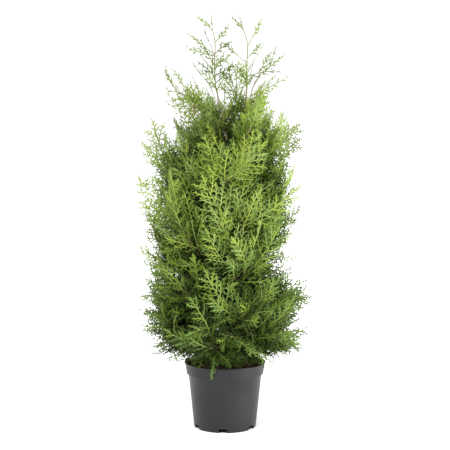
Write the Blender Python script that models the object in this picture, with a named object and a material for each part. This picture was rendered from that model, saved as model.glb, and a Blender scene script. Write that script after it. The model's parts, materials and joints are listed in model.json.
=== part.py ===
"""A young columnar thuja in a round nursery pot, in metres, +Z up.

The origin is the centre of the pot's flat underside, and the plant's front faces -Y.
Run with: blender --background --python part.py
"""

import math
import random
from collections import namedtuple

import bmesh
import bpy
import numpy as np
from mathutils import Matrix, Vector
from mathutils.geometry import intersect_point_line

# ---------------------------------------------------------------- driving dimensions

GAP = 0.0003  # clearance between neighbouring pieces
UP = Vector((0.0, 0.0, 1.0))

# Pot: a tapered thin wall, an upright skirt with a small lip, and a flat foot with six drain notches.
POT_HEIGHT = 0.181
POT_SIDES = 36
WALL = 0.0015
LIP_RADIUS = 0.1125
LIP_HEIGHT = 0.0034
SKIRT_TOP_RADIUS = 0.1102
SKIRT_FOOT_RADIUS = 0.1066
SKIRT_HEIGHT = 0.033
SKIRT_STEP = 0.004  # height over which the inside widens from the body to the skirt
BODY_TOP_RADIUS = 0.1012
BODY_FOOT_RADIUS = 0.0858
FOOT_BEVEL = 0.0025
FLOOR = 0.0022
RECESS_DEPTH = 0.004
RECESS_INNER = 0.030
RECESS_OUTER = 0.066
RECESS_SLOPE = 0.003
NOTCHES = 6
NOTCH_WIDTH = 0.022
NOTCH_HEIGHT = 0.0085
NOTCH_DEPTH = 0.016
FIRST_NOTCH = math.radians(-93.5)

# Growing medium: fills the pot to a little under the lip, with a low crown round the trunk.
SOIL_EDGE = 0.1705
SOIL_CROWN = 0.1745
SOIL_SIDES = 24
SOIL_FLAT_RADIUS = 0.024
SOIL_BROW = (0.070, 0.0018)  # radius, and height over the edge
SOIL_CLEARANCE = 0.0007

# Limbs: (x, y, z) of the points that each smooth axis passes through, and radii at foot and tip.
TRUNK_AXIS = (
    (0.000, 0.000, SOIL_CROWN + GAP),
    (0.003, 0.001, 0.300),
    (-0.002, 0.004, 0.450),
    (0.002, 0.003, 0.620),
    (0.006, 0.001, 0.760),
    (0.001, 0.000, 0.830),
    (-0.011, -0.002, 0.872),
    (-0.018, -0.003, 0.905),
)
TRUNK_FLARE_RADIUS = 0.0150
TRUNK_FLARE_HEIGHT = 0.034
TRUNK_FOOT_RADIUS = 0.0092
TRUNK_TIP_RADIUS = 0.0023
TRUNK_SIDES = 9
LEADER_ROOT_HEIGHT = 0.300
LEADER_AXIS = (
    (0.030, -0.022, 0.400),
    (0.046, -0.034, 0.500),
    (0.047, -0.036, 0.630),
    (0.050, -0.026, 0.750),
    (0.057, -0.015, 0.840),
    (0.058, -0.010, 0.898),
)
LEADER_FOOT_RADIUS = 0.0052
LEADER_TIP_RADIUS = 0.0021
LEADER_SIDES = 8
BOUGH_SIDES = 5
BOUGH_FOOT_RADIUS = 0.0046
BOUGH_TIP_RADIUS = 0.0026
STEM_SIDES = 4
STEM_FOOT_RADIUS = 0.0023
STEM_TIP_RADIUS = 0.0013
TWIG_RADIUS = 0.0013

# Tiers of masses. Each has its count and first azimuth in degrees, the height where it leaves the
# trunk, the (radius, height) where its bough enters it, or None where it has no bough, the height
# of its stem's end, the radius of its dense core or 0, its sprays' length and how steeply they
# rise, and its number of twigs.
Tier = namedtuple("Tier", "name count first foot entry end core spray rise twigs")
TIERS = (
    Tier("skirt", 6, -105.0, 0.190, (0.056, 0.211), 0.230, 0.036, 0.110, 0.05, 4),
    Tier("lower", 6, -75.0, 0.218, (0.058, 0.262), 0.330, 0.046, 0.118, 0.35, 4),
    Tier("middle", 6, -69.0, 0.348, (0.060, 0.392), 0.455, 0.046, 0.118, 0.60, 4),
    Tier("upper", 5, -72.0, 0.452, None, 0.575, 0.045, 0.118, 0.80, 4),
    Tier("shoulder", 5, -90.0, 0.574, None, 0.700, 0.036, 0.112, 1.00, 4),
    Tier("top", 4, -60.0, 0.700, None, 0.826, 0.0, 0.092, 1.30, 3),
)
WHORL_STEP = 0.054  # neighbours in a tier stand this much apart in height
CORE_SIDES = 5
CORE_RINGS = ((0.30, 0.75), (0.68, 1.00))  # (share of the stem, share of the core's radius)
CORE_ENDS = (0.05, 0.95)

# Sprays: a flat toothed blade, its outline given by half as shares of its length.
SPRAY_OUTLINE = ((0.17, 0.130), (0.33, 0.065), (0.52, 0.245), (0.57, 0.080), (0.80, 0.135))
SPRAY_STAGGER = 0.025  # the teeth of one side stand this much ahead of the other's
SPRAY_HUB = 0.40
SPRAY_THICKNESS = 0.026
SPRAY_SAG = 0.10
SPRAY_OVERHANG = 0.74  # share of its length by which it stands past the end of its stem
ROOTING = 0.005  # depth to which a spray's foot is sunk in its twig
FREE_SHARE = 0.15  # past this share of its length a spray stands clear of the others of its mass
SPRAY_SPACING = 0.007
CANDIDATES = 16

# Clearances that each mass keeps inside its own space.
SPACE_MARGIN = 0.0016
LIMB_MARGIN = 0.0016

CROWN_TOP = 1.130

# Reach of the crown from the pot's axis, as (height, radius), to the right, to the left and in depth.
REACH_RIGHT = (
    (0.186, 0.133), (0.212, 0.186), (0.250, 0.226), (0.310, 0.240), (0.400, 0.255),
    (0.440, 0.215), (0.490, 0.186), (0.560, 0.205), (0.640, 0.234), (0.705, 0.258),
    (0.760, 0.214), (0.860, 0.238), (0.900, 0.163), (1.030, 0.169), (1.090, 0.112), (1.132, 0.071),
)
REACH_LEFT = (
    (0.186, 0.128), (0.212, 0.186), (0.250, 0.228), (0.360, 0.247), (0.420, 0.258),
    (0.500, 0.245), (0.550, 0.230), (0.600, 0.246), (0.700, 0.238), (0.790, 0.241),
    (0.830, 0.193), (0.980, 0.175), (1.000, 0.112), (1.060, 0.108), (1.100, 0.084), (1.132, 0.076),
)
REACH_DEPTH = (
    (0.186, 0.134), (0.212, 0.188), (0.250, 0.224), (0.420, 0.247), (0.600, 0.238),
    (0.760, 0.224), (0.860, 0.188), (0.940, 0.133), (1.132, 0.082),
)

# Open shoots at the top. Each has the limb that it grows on from, the height of its foot or None at
# the limb's tip, its stem's points past the foot, the tips that its first twigs reach for, and its
# number of further twigs.
Shoot = namedtuple("Shoot", "name parent foot stem tips twigs")
SHOOTS = (
    Shoot(
        "leader_left", "trunk", None,
        ((-0.026, -0.004, 0.945), (-0.028, -0.004, 1.005), (-0.027, -0.003, 1.052), (-0.035, -0.002, 1.095)),
        ((-0.073, -0.010, 1.126), (0.012, 0.012, 1.106), (-0.099, -0.022, 1.072), (0.018, -0.030, 1.022)),
        3,
    ),
    Shoot(
        "leader_right", "second_leader", None,
        ((0.058, -0.008, 0.935), (0.059, -0.006, 0.995), (0.061, -0.004, 1.050), (0.048, -0.002, 1.096)),
        ((0.019, -0.008, 1.120), (0.102, 0.006, 1.121), (-0.012, 0.016, 1.056)),
        3,
    ),
    Shoot(
        "side_left", "trunk", 0.846,
        ((-0.060, -0.006, 0.890), (-0.115, -0.010, 0.915), (-0.144, -0.012, 0.940)),
        ((-0.166, -0.014, 0.986), (-0.142, 0.010, 0.984)),
        3,
    ),
    Shoot(
        "side_right", "second_leader", 0.862,
        ((0.080, -0.006, 0.945), (0.112, 0.004, 0.985)),
        ((0.163, 0.010, 1.021), (0.124, 0.014, 1.030)),
        3,
    ),
    Shoot(
        "side_middle", "second_leader", 0.832,
        ((0.034, 0.016, 0.905), (0.020, 0.030, 0.950)),
        ((-0.014, 0.040, 0.984), (0.028, 0.048, 0.998)),
        3,
    ),
)
SHOOT_STEM_RADIUS = 0.0017
SHOOT_TIP_RADIUS = 0.0009
SHOOT_TWIG_RADIUS = 0.0010
SHOOT_SPRAY = 0.062
SHOOT_RISE = 0.75
SLIM = 0.75  # share of a full spray's width that a shoot's sprays have

# One spray droops over the pot's lip, at the front.
DROOP_MASS = "skirt_1"
DROOP_KNEE = Vector((-0.031, -0.112, 0.214))
DROOP_TIP = Vector((-0.037, -0.1240, 0.153))

GROWTH_SEED = 11


# ---------------------------------------------------------------- scene and materials


def clear_scene():
    for obj in list(bpy.data.objects):
        bpy.data.objects.remove(obj)


def material(name, colour, roughness, metallic=0.0):
    made = bpy.data.materials.new(name)
    made.use_nodes = True
    shader = made.node_tree.nodes["Principled BSDF"]
    shader.inputs["Base Color"].default_value = (*colour, 1.0)
    shader.inputs["Roughness"].default_value = roughness
    shader.inputs["Metallic"].default_value = metallic
    return made


def add_object(name, mesh, finish=None, collection=None):
    obj = bpy.data.objects.new(name, mesh)
    (collection or bpy.context.scene.collection).objects.link(obj)
    if finish is not None:
        mesh.materials.append(finish)
    return obj


def mesh_from(bm, name):
    """The bmesh as a mesh, its faces pointing outwards."""
    bmesh.ops.recalc_face_normals(bm, faces=bm.faces)
    mesh = bpy.data.meshes.new(name)
    bm.to_mesh(mesh)
    bm.free()
    return mesh


# ---------------------------------------------------------------- lines and directions


def polar(radius, azimuth, height):
    return Vector((radius * math.cos(azimuth), radius * math.sin(azimuth), height))


def profile_at(profile, height):
    """Radius at a height or at many, straight between the profile's points."""
    heights, radii = zip(*profile)
    return np.interp(height, heights, radii)


def reach(azimuth, height):
    """The crown's radius that way: its right or left reach, turning into its depth."""
    side = np.where(np.cos(azimuth) > 0, profile_at(REACH_RIGHT, height), profile_at(REACH_LEFT, height))
    share = np.cos(azimuth) ** 2
    return share * side + (1 - share) * profile_at(REACH_DEPTH, height)


def smooth_line(points, per_span):
    """A Catmull-Rom curve through the points."""
    points = [Vector(p) for p in points]
    ends = [2 * points[0] - points[1], *points, 2 * points[-1] - points[-2]]
    line = []
    for a, b, c, d in zip(ends, ends[1:], ends[2:], ends[3:]):
        for t in np.linspace(0.0, 1.0, per_span, endpoint=False).tolist():
            bend = (2 * a - 5 * b + 4 * c - d) * t**2 + (3 * b - a - 3 * c + d) * t**3
            line.append(0.5 * (2 * b + (c - a) * t + bend))
    line.append(points[-1])
    return line


def headings_of(line):
    ends = [line[0], *line, line[-1]]
    return [(after - before).normalized() for before, after in zip(ends, ends[2:])]


def along(line, share):
    """(point, direction) at that share of the line's length."""
    lengths = [(b - a).length for a, b in zip(line, line[1:])]
    left = share * sum(lengths)
    for a, b, length in zip(line, line[1:], lengths):
        if left <= length:
            return a.lerp(b, left / length), (b - a).normalized()
        left -= length
    return line[-1].copy(), (line[-1] - line[-2]).normalized()


def at_height(line, height):
    """The line's point at that height."""
    for a, b in zip(line, line[1:]):
        if a.z <= height <= b.z:
            return a.lerp(b, (height - a.z) / (b.z - a.z))
    return line[-1].copy()


def distance_to(line, point):
    best = (point - line[0]).length
    for a, b in zip(line, line[1:]):
        on, share = intersect_point_line(point, a, b)
        on = a if share < 0 else b if share > 1 else on
        best = min(best, (point - on).length)
    return best


def frame_along(direction, hint):
    """A rotation whose Z runs along direction and whose X is as near hint as it can be."""
    z = direction.normalized()
    x = hint - z * hint.dot(z)
    if x.length < 1e-6:
        x = z.orthogonal()
    x.normalize()
    return Matrix((x, z.cross(x), z)).transposed()


# ---------------------------------------------------------------- limbs


def make_limb(line, foot_radius, tip_radius, headings=None):
    """A limb's axis, its radius at each point, and the way that each of its rings faces."""
    radii = np.linspace(foot_radius, tip_radius, len(line)).tolist()
    return {"line": line, "radii": radii, "headings": headings or headings_of(line)}


def leave_parent(line, parent, foot_radius, tip_radius):
    """The part of a line that lies outside its parent limb, as a limb."""
    clear = radius_near(parent, line[0]) + GAP
    outside = [p for p in line if distance_to(parent["line"], p) > clear + 0.001]
    start = line[0].lerp(outside[0], clear / (outside[0] - line[0]).length)
    return make_limb([start, *outside], foot_radius, tip_radius)


def radius_near(limb, point):
    """The limb's radius at the station nearest a point, or at the wider one just below it."""
    nearest = min(range(len(limb["line"])), key=lambda k: (limb["line"][k] - point).length)
    return limb["radii"][max(nearest - 1, 0)]


def limb_mesh(name, limb, sides, parent=None):
    """A closed tapering tube, its lower end cut to fit the parent limb where it has one."""
    bm = bmesh.new()
    rings = []
    hint = Vector((1.0, 0.0, 0.0))
    for point, radius, heading in zip(limb["line"], limb["radii"], limb["headings"]):
        turned = frame_along(heading, hint)
        place = Matrix.Translation(point) @ turned.to_4x4()
        rings.append(bmesh.ops.create_circle(bm, segments=sides, radius=radius, matrix=place)["verts"])
        hint = turned.col[0]
    for lower, upper in zip(rings, rings[1:]):
        for k in range(sides):
            bm.faces.new((lower[k], lower[(k + 1) % sides], upper[(k + 1) % sides], upper[k]))
    bm.faces.new(rings[-1])
    foot = bmesh.ops.poke(bm, faces=[bm.faces.new(rings[0])])
    if parent is not None:
        fit_foot([*rings[0], *foot["verts"]], limb["headings"][0], parent)
    return mesh_from(bm, name)


def fit_foot(verts, heading, parent):
    """Slides points along heading until each stands clear of the parent limb."""
    step = 0.0001
    clear = radius_near(parent, verts[0].co) + GAP
    for vert in verts:
        while distance_to(parent["line"], vert.co) > clear + 2 * GAP:
            vert.co -= heading * step
        while distance_to(parent["line"], vert.co) < clear:
            vert.co += heading * step


def trunk_radius(height):
    """A straight taper with a root flare at its foot."""
    foot, tip = TRUNK_AXIS[0][2], TRUNK_AXIS[-1][2]
    plain = TRUNK_FOOT_RADIUS + (TRUNK_TIP_RADIUS - TRUNK_FOOT_RADIUS) * (height - foot) / (tip - foot)
    flare = max(0.0, 1 - (height - foot) / TRUNK_FLARE_HEIGHT)
    return plain + (TRUNK_FLARE_RADIUS - TRUNK_FOOT_RADIUS) * flare**2


def plan_trunk():
    line = smooth_line(TRUNK_AXIS, 2)
    line[1:1] = [line[0].lerp(line[1], share) for share in (0.18, 0.42, 0.72)]
    trunk = make_limb(line, TRUNK_FOOT_RADIUS, TRUNK_TIP_RADIUS)
    trunk["radii"] = [trunk_radius(point.z) for point in line]
    trunk["headings"][0] = UP
    return trunk


def plan_second_leader(trunk):
    line = smooth_line([at_height(trunk["line"], LEADER_ROOT_HEIGHT), *LEADER_AXIS], 3)
    return leave_parent(line, trunk, LEADER_FOOT_RADIUS, LEADER_TIP_RADIUS)


# ---------------------------------------------------------------- the crown's plan


def plan_tiers(trunk):
    """Each tier's masses: name, azimuth, stem and, where it has one, bough."""
    plan = []
    for tier in TIERS:
        for k in range(tier.count):
            azimuth = math.radians(tier.first) + 2 * math.pi * k / tier.count
            lift = WHORL_STEP * (k % 2)
            mass = {"name": f"{tier.name}_{k + 1}", "tier": tier, "azimuth": azimuth}
            add_stem(mass, lift, 0.012 * math.sin(2.4 * k + 9 * tier.foot), trunk)
            plan.append(mass)
    return plan


def add_stem(mass, lift, sway, trunk):
    """The stem from its bough's tip, or from the trunk, to near the crown's surface."""
    tier, azimuth = mass["tier"], mass["azimuth"]
    root = at_height(trunk["line"], tier.foot + lift)
    height = tier.end + lift + sway
    tip = polar(float(reach(azimuth, height)) - SPRAY_OVERHANG * tier.spray, azimuth, height)
    side = polar(sway, azimuth + math.pi / 2, 0.0)
    if tier.entry is None:
        line = smooth_line([root, root.lerp(tip, 0.5) + side + 0.008 * UP, tip], 3)
        mass["stem"] = leave_parent(line, trunk, STEM_FOOT_RADIUS, STEM_TIP_RADIUS)
        mass["meets"] = trunk
        return
    entry = polar(tier.entry[0], azimuth, tier.entry[1] + lift)
    whole = smooth_line([root, entry, entry.lerp(tip, 0.5) + side, tip], 3)
    headings = headings_of(whole)
    bough = leave_parent(whole[:4], trunk, BOUGH_FOOT_RADIUS, BOUGH_TIP_RADIUS)
    bough["headings"][-1] = headings[3]
    mass["bough"] = bough
    start = whole[3] + headings[3] * GAP
    mass["stem"] = make_limb([start, *whole[4:]], STEM_FOOT_RADIUS, STEM_TIP_RADIUS, headings[3:])


def plan_shoots(limbs):
    plan = []
    for shoot in SHOOTS:
        parent = limbs[shoot.parent]
        mass = {"name": shoot.name, "shoot": shoot}
        if shoot.foot is None:
            start = parent["line"][-1] + parent["headings"][-1] * GAP
            line = smooth_line([start, *shoot.stem], 3)
            headings = [parent["headings"][-1], *headings_of(line)[1:]]
            foot_radius = min(SHOOT_STEM_RADIUS, parent["radii"][-1])
            mass["stem"] = make_limb(line, foot_radius, SHOOT_TIP_RADIUS, headings)
        else:
            line = smooth_line([at_height(parent["line"], shoot.foot), *shoot.stem], 3)
            mass["stem"] = leave_parent(line, parent, SHOOT_STEM_RADIUS, SHOOT_TIP_RADIUS)
            mass["meets"] = parent
        plan.append(mass)
    return plan


# ---------------------------------------------------------------- each mass's own space


class Space:
    """Keeps each mass nearer its own stem than any other's, inside the crown's reach, off the limbs."""

    def __init__(self, plan, limbs):
        self.stems = [segments(mass["stem"]) for mass in plan]
        self.limbs = [segments(limb) for limb in limbs]
        self.centres = []

    def holds(self, index, points):
        """True where every one of the points is in that mass's space."""
        azimuths = np.arctan2(points[:, 1], points[:, 0])
        radii = np.hypot(points[:, 0], points[:, 1])
        if np.any(radii > reach(azimuths, points[:, 2])) or np.any(points[:, 2] > CROWN_TOP):
            return False
        if np.any(points[:, 2] < POT_HEIGHT + LIMB_MARGIN) and np.any(radii < LIP_RADIUS + LIMB_MARGIN):
            return False
        if any(np.any(clearance(points, limb) < LIMB_MARGIN) for limb in self.limbs):
            return False
        own = clearance(points, self.stems[index], solid=False)
        return all(
            np.all(clearance(points, stem, solid=False) > own + 2 * SPACE_MARGIN)
            for other, stem in enumerate(self.stems)
            if other != index
        )

    def room(self, centre):
        """Distance to the nearest spray so far."""
        return min(((centre - other).length for other in self.centres), default=1.0)


def segments(limb):
    """A limb as arrays: where its segments start, how they run, and their thicker ends' radii."""
    line = np.array([tuple(p) for p in limb["line"]])
    return line[:-1], line[1:] - line[:-1], np.array(limb["radii"][:-1])


def clearance(points, limb, solid=True):
    """Each point's distance to the limb's surface, or to its axis."""
    starts, runs, radii = limb
    offsets = points[:, None, :] - starts[None]
    shares = np.clip(np.sum(offsets * runs, axis=2) / np.sum(runs * runs, axis=1), 0.0, 1.0)
    gaps = np.linalg.norm(offsets - shares[:, :, None] * runs, axis=2)
    return np.min(gaps - radii if solid else gaps, axis=1)


# ---------------------------------------------------------------- growth of twigs and sprays


def spray_points():
    """The blade's outline from its foot round to its foot, as (along, across)."""
    right = [(u + SPRAY_STAGGER, -v) for u, v in SPRAY_OUTLINE]
    left = [(u - SPRAY_STAGGER, v) for u, v in reversed(SPRAY_OUTLINE)]
    return [(0.0, 0.0), *right, (1.0, 0.0), *left]


def sample_points():
    """Points all over the blade, as (along, across): the outline and rings inside it."""
    corners = np.array(spray_points())
    after = np.roll(corners, -1, axis=0)
    outline = np.concatenate([corners + (after - corners) * share for share in (0.0, 0.33, 0.67)])
    hub = np.array([SPRAY_HUB, 0.0])
    return np.concatenate([hub + share * (outline - hub) for share in (1.0, 0.7, 0.4)])


SAMPLES = sample_points()


def make_spray(root, direction, length, normal, slim=1.0):
    turned = frame_along(direction, normal)
    return {
        "root": root,
        "length": length,
        "slim": slim,
        "face": turned.col[0].copy(),
        "across": turned.col[1].copy(),
        "forward": turned.col[2].copy(),
    }


def on_spray(spray, u, v, lift=0.0):
    """The blade's point at (u, v) of its outline, raised by lift from its sagging face."""
    lift -= SPRAY_SAG * u**2
    place = spray["forward"] * u + spray["across"] * v * spray["slim"] + spray["face"] * lift
    return spray["root"] + place * spray["length"]


def points_over(spray):
    """Points all over the blade, in space."""
    u, v = SAMPLES[:, :1], SAMPLES[:, 1:]
    sag = SPRAY_SAG * u**2
    forward, across, face = (np.array(spray[key]) for key in ("forward", "across", "face"))
    flat = forward * u + across * v * spray["slim"] - face * sag
    return np.array(spray["root"]) + flat * spray["length"]


def spray_fits(space, index, mass, spray):
    """True where the blade stays in its mass's space and crosses none of the mass's other blades."""
    points = points_over(spray)
    if not space.holds(index, points):
        return False
    free = points[SAMPLES[:, 0] > FREE_SHARE]
    return all(
        np.min(np.linalg.norm(free[:, None] - points_over(other)[None], axis=2)) > SPRAY_SPACING
        for other in mass["sprays"]
    )


def twig_fits(space, index, start, end):
    shares = np.linspace(0.1, 1.0, 24)[:, None]
    points = np.array(start) * (1 - shares) + np.array(end) * shares
    return space.holds(index, points)


def facing(direction, azimuth, roll):
    """A spray's face: outwards and a little up, rolled about its own axis."""
    outward = polar(1.0, azimuth, 0.25)
    base = (outward - direction * outward.dot(direction)).normalized()
    return Matrix.Rotation(roll, 3, direction) @ base


def grow_twig(space, index, mass, root, heading, habit, rng):
    """The twig and its end spray that fit and stand in the emptiest of some seeded places, or None."""
    best, most = None, 0.0
    for attempt in range(2 * CANDIDATES):
        shrink = 1.0 if attempt < CANDIDATES else 0.6
        azimuth = math.atan2(root.y, root.x)
        outward = polar(1.0, azimuth, 0.0)
        side = polar(rng.uniform(-habit["spread"], habit["spread"]), azimuth + math.pi / 2, 0.0)
        lift = habit["rise"] + rng.uniform(-0.7, 0.7)
        direction = (heading * 0.3 + outward * rng.uniform(0.2, 0.9) + side + lift * UP).normalized()
        reach_out = rng.uniform(0.25, 0.8) * habit["spray"] * shrink
        onward = (direction * 0.7 + outward * 0.35 + habit["rise"] * 0.6 * UP).normalized()
        length = habit["spray"] * rng.uniform(0.9, 1.1) * shrink
        roll = rng.uniform(-0.9, 0.9)
        if best is not None and attempt >= CANDIDATES:
            break
        end = root + direction * reach_out
        spray = make_spray(end - direction * ROOTING, onward, length, facing(onward, azimuth, roll), habit["slim"])
        space_left = space.room(on_spray(spray, 0.5, 0.0))
        if space_left > most and twig_fits(space, index, root, end) and spray_fits(space, index, mass, spray):
            best, most = (root, end, spray), space_left
    if best is not None:
        mass["twigs"].append(best[:2])
        add_spray(space, mass, best[2])
    return best


def add_spray(space, mass, spray):
    mass["sprays"].append(spray)
    space.centres.append(on_spray(spray, 0.5, 0.0))


def grow_side_spray(space, index, mass, twig, habit, rng):
    """A spray from the middle of a twig, on whichever side has more room."""
    start, end = twig
    direction = (end - start).normalized()
    root = start.lerp(end, 0.5)
    azimuth = math.atan2(root.y, root.x)
    best, most = None, 0.0
    for _ in range(CANDIDATES):
        across = Matrix.Rotation(rng.uniform(-math.pi, math.pi), 3, direction) @ direction.orthogonal()
        onward = (direction * 0.4 + across.normalized() * 0.9 + UP * habit["rise"] * 0.4).normalized()
        normal = facing(onward, azimuth, rng.uniform(-0.9, 0.9))
        length = habit["spray"] * rng.uniform(0.75, 0.95)
        spray = make_spray(root - onward * 0.0006, onward, length, normal, habit["slim"])
        space_left = space.room(on_spray(spray, 0.5, 0.0))
        if space_left > most and spray_fits(space, index, mass, spray):
            best, most = spray, space_left
    if best is not None:
        add_spray(space, mass, best)


def grow_tip(space, index, mass, habit, rng):
    """The spray that carries the stem's end on, shortened until it fits."""
    end, heading = along(mass["stem"]["line"], 1.0)
    azimuth = math.atan2(end.y, end.x)
    onward = (heading + habit["rise"] * 0.5 * UP).normalized()
    for share in np.linspace(1.2, 0.4, 17).tolist():
        roll = rng.uniform(-0.7, 0.7)
        length = habit["spray"] * share
        spray = make_spray(end - heading * ROOTING, onward, length, facing(onward, azimuth, roll), habit["slim"])
        if spray_fits(space, index, mass, spray):
            add_spray(space, mass, spray)
            return


def grow_core(space, index, mass, rng):
    """A lumpy spindle round the stem, drawn in until none of its surface leaves the mass's space."""
    line = mass["stem"]["line"]
    core = {"ends": [along(line, share)[0] for share in CORE_ENDS], "rings": []}
    centres = []
    first = rng.uniform(0.0, 1.0)
    for share, swell in CORE_RINGS:
        centre, heading = along(line, share)
        turned = frame_along(heading, UP)
        turns = [first + 2 * math.pi * k / CORE_SIDES for k in range(CORE_SIDES)]
        radii = [mass["tier"].core * swell * rng.uniform(0.8, 1.15) for _ in turns]
        ring = [
            centre + (turned.col[0] * math.cos(turn) + turned.col[1] * math.sin(turn)) * radius
            for turn, radius in zip(turns, radii)
        ]
        centres.append(centre)
        core["rings"].append(ring)
    while not space.holds(index, points_over_core(core)):
        core["rings"] = [
            [centre.lerp(corner, 0.93) for corner in ring] for centre, ring in zip(centres, core["rings"])
        ]
    mass["core"] = core


def points_over_core(core):
    """Points all over the spindle's surface, from its foot's cone to its tip's."""
    foot, tip = (np.array(end) for end in core["ends"])
    lower, upper = (np.array([tuple(corner) for corner in ring]) for ring in core["rings"])
    points = []
    for across in (0.0, 0.2, 0.4, 0.6, 0.8):
        low = lower + (np.roll(lower, -1, axis=0) - lower) * across
        high = upper + (np.roll(upper, -1, axis=0) - upper) * across
        for up in (0.0, 0.25, 0.5, 0.75, 1.0):
            points += [low + (high - low) * up, foot + (low - foot) * (0.3 + 0.7 * up), tip + (high - tip) * up]
    return np.concatenate(points)


def grow_mass(space, index, mass, rng):
    """Twigs up the stem, each with a spray at its end and one on its side."""
    tier = mass["tier"]
    habit = {"spray": tier.spray, "rise": tier.rise, "slim": 1.0, "spread": 1.3}
    mass["twigs"], mass["sprays"] = [], []
    if tier.core:
        grow_core(space, index, mass, rng)
    grow_tip(space, index, mass, habit, rng)
    for k in range(tier.twigs):
        root, heading = along(mass["stem"]["line"], 0.12 + 0.74 * k / (tier.twigs - 1))
        grown = grow_twig(space, index, mass, root, heading, habit, rng)
        if grown is not None:
            grow_side_spray(space, index, mass, grown[:2], habit, rng)
    if mass["name"] == DROOP_MASS:
        add_droop(mass)


def add_droop(mass):
    """The spray that hangs over the lip, on its own twig from the stem."""
    root = along(mass["stem"]["line"], 0.45)[0]
    mass["twigs"].append((root, DROOP_KNEE))
    down = (DROOP_TIP - DROOP_KNEE).normalized()
    start = DROOP_KNEE + (root - DROOP_KNEE).normalized() * ROOTING
    mass["sprays"].append(make_spray(start, down, (DROOP_TIP - start).length, Vector((0.0, -1.0, 0.0)), 0.9))


def grow_shoot(space, index, mass, rng):
    """An open shoot: twigs that reach for the set tips, then seeded ones, all in narrow sprays."""
    shoot = mass["shoot"]
    habit = {"spray": SHOOT_SPRAY, "rise": SHOOT_RISE, "slim": SLIM, "spread": 1.0}
    mass["twigs"], mass["sprays"] = [], []
    grow_tip(space, index, mass, habit, rng)
    for k, tip in enumerate(shoot.tips):
        root = along(mass["stem"]["line"], 0.95 - 0.65 * k / len(shoot.tips))[0]
        tip = Vector(tip)
        onward = (tip - root).normalized()
        bare = (tip - root).length - SHOOT_SPRAY
        start = root + onward * bare if bare > 2 * ROOTING else root
        front = Matrix.Rotation(rng.uniform(-0.6, 0.6), 3, onward) @ Vector((0.0, -1.0, 0.0))
        spray = make_spray(start, onward, (tip - start).length, front, SLIM)
        if start is not root:
            mass["twigs"].append((root, start + onward * ROOTING))
        add_spray(space, mass, spray)
    for k in range(shoot.twigs):
        root, heading = along(mass["stem"]["line"], 0.14 + 0.66 * k / shoot.twigs)
        grow_twig(space, index, mass, root, heading, habit, rng)


# ---------------------------------------------------------------- solids of the masses


def twig_solid(start, end, radius, collection):
    """A three-sided twig that narrows to its tip."""
    bm = bmesh.new()
    run = end - start
    place = Matrix.Translation((start + end) / 2) @ frame_along(run, UP).to_4x4()
    bmesh.ops.create_cone(
        bm, cap_ends=True, segments=3, radius1=radius, radius2=0.45 * radius, depth=run.length, matrix=place
    )
    add_object("twig", mesh_from(bm, "twig"), collection=collection)


def spray_solid(spray, collection):
    """A toothed blade: a double fan from a hub on either face to the outline between them."""
    bm = bmesh.new()
    outline = [bm.verts.new(on_spray(spray, u, v)) for u, v in spray_points()]
    above = bm.verts.new(on_spray(spray, SPRAY_HUB, 0.0, SPRAY_THICKNESS / 2))
    below = bm.verts.new(on_spray(spray, SPRAY_HUB, 0.0, -SPRAY_THICKNESS / 2))
    for a, b in zip(outline, outline[1:] + outline[:1]):
        bm.faces.new((a, b, above))
        bm.faces.new((b, a, below))
    add_object("spray", mesh_from(bm, "spray"), collection=collection)


def core_solid(core, collection):
    """The lumpy spindle that a dense mass's sprays stand out of."""
    bm = bmesh.new()
    lower, upper = ([bm.verts.new(point) for point in ring] for ring in core["rings"])
    foot, tip = (bm.verts.new(point) for point in core["ends"])
    for k in range(CORE_SIDES):
        after = (k + 1) % CORE_SIDES
        bm.faces.new((lower[k], lower[after], foot))
        bm.faces.new((lower[k], upper[k], upper[after], lower[after]))
        bm.faces.new((upper[after], upper[k], tip))
    add_object("core", mesh_from(bm, "core"), collection=collection)


def make_mass(mass, finish):
    """Fuses the stem, twigs, sprays and core of a mass to one solid."""
    collection = bpy.data.collections.new(mass["name"])
    bpy.context.scene.collection.children.link(collection)
    stem = add_object(mass["name"], limb_mesh(mass["name"], mass["stem"], STEM_SIDES, mass.get("meets")), finish)
    for start, end in mass["twigs"]:
        twig_solid(start, end, SHOOT_TWIG_RADIUS if "shoot" in mass else TWIG_RADIUS, collection)
    for spray in mass["sprays"]:
        spray_solid(spray, collection)
    if "core" in mass:
        core_solid(mass["core"], collection)
    union = stem.modifiers.new("fuse", "BOOLEAN")
    union.operation = "UNION"
    union.operand_type = "COLLECTION"
    union.collection = collection
    union.solver = "MANIFOLD"
    fused = bpy.data.meshes.new_from_object(stem.evaluated_get(bpy.context.evaluated_depsgraph_get()))
    stem.modifiers.clear()
    stem.data = fused
    for obj in list(collection.objects):
        bpy.data.objects.remove(obj)
    bpy.data.collections.remove(collection)


# ---------------------------------------------------------------- pot and soil


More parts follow.
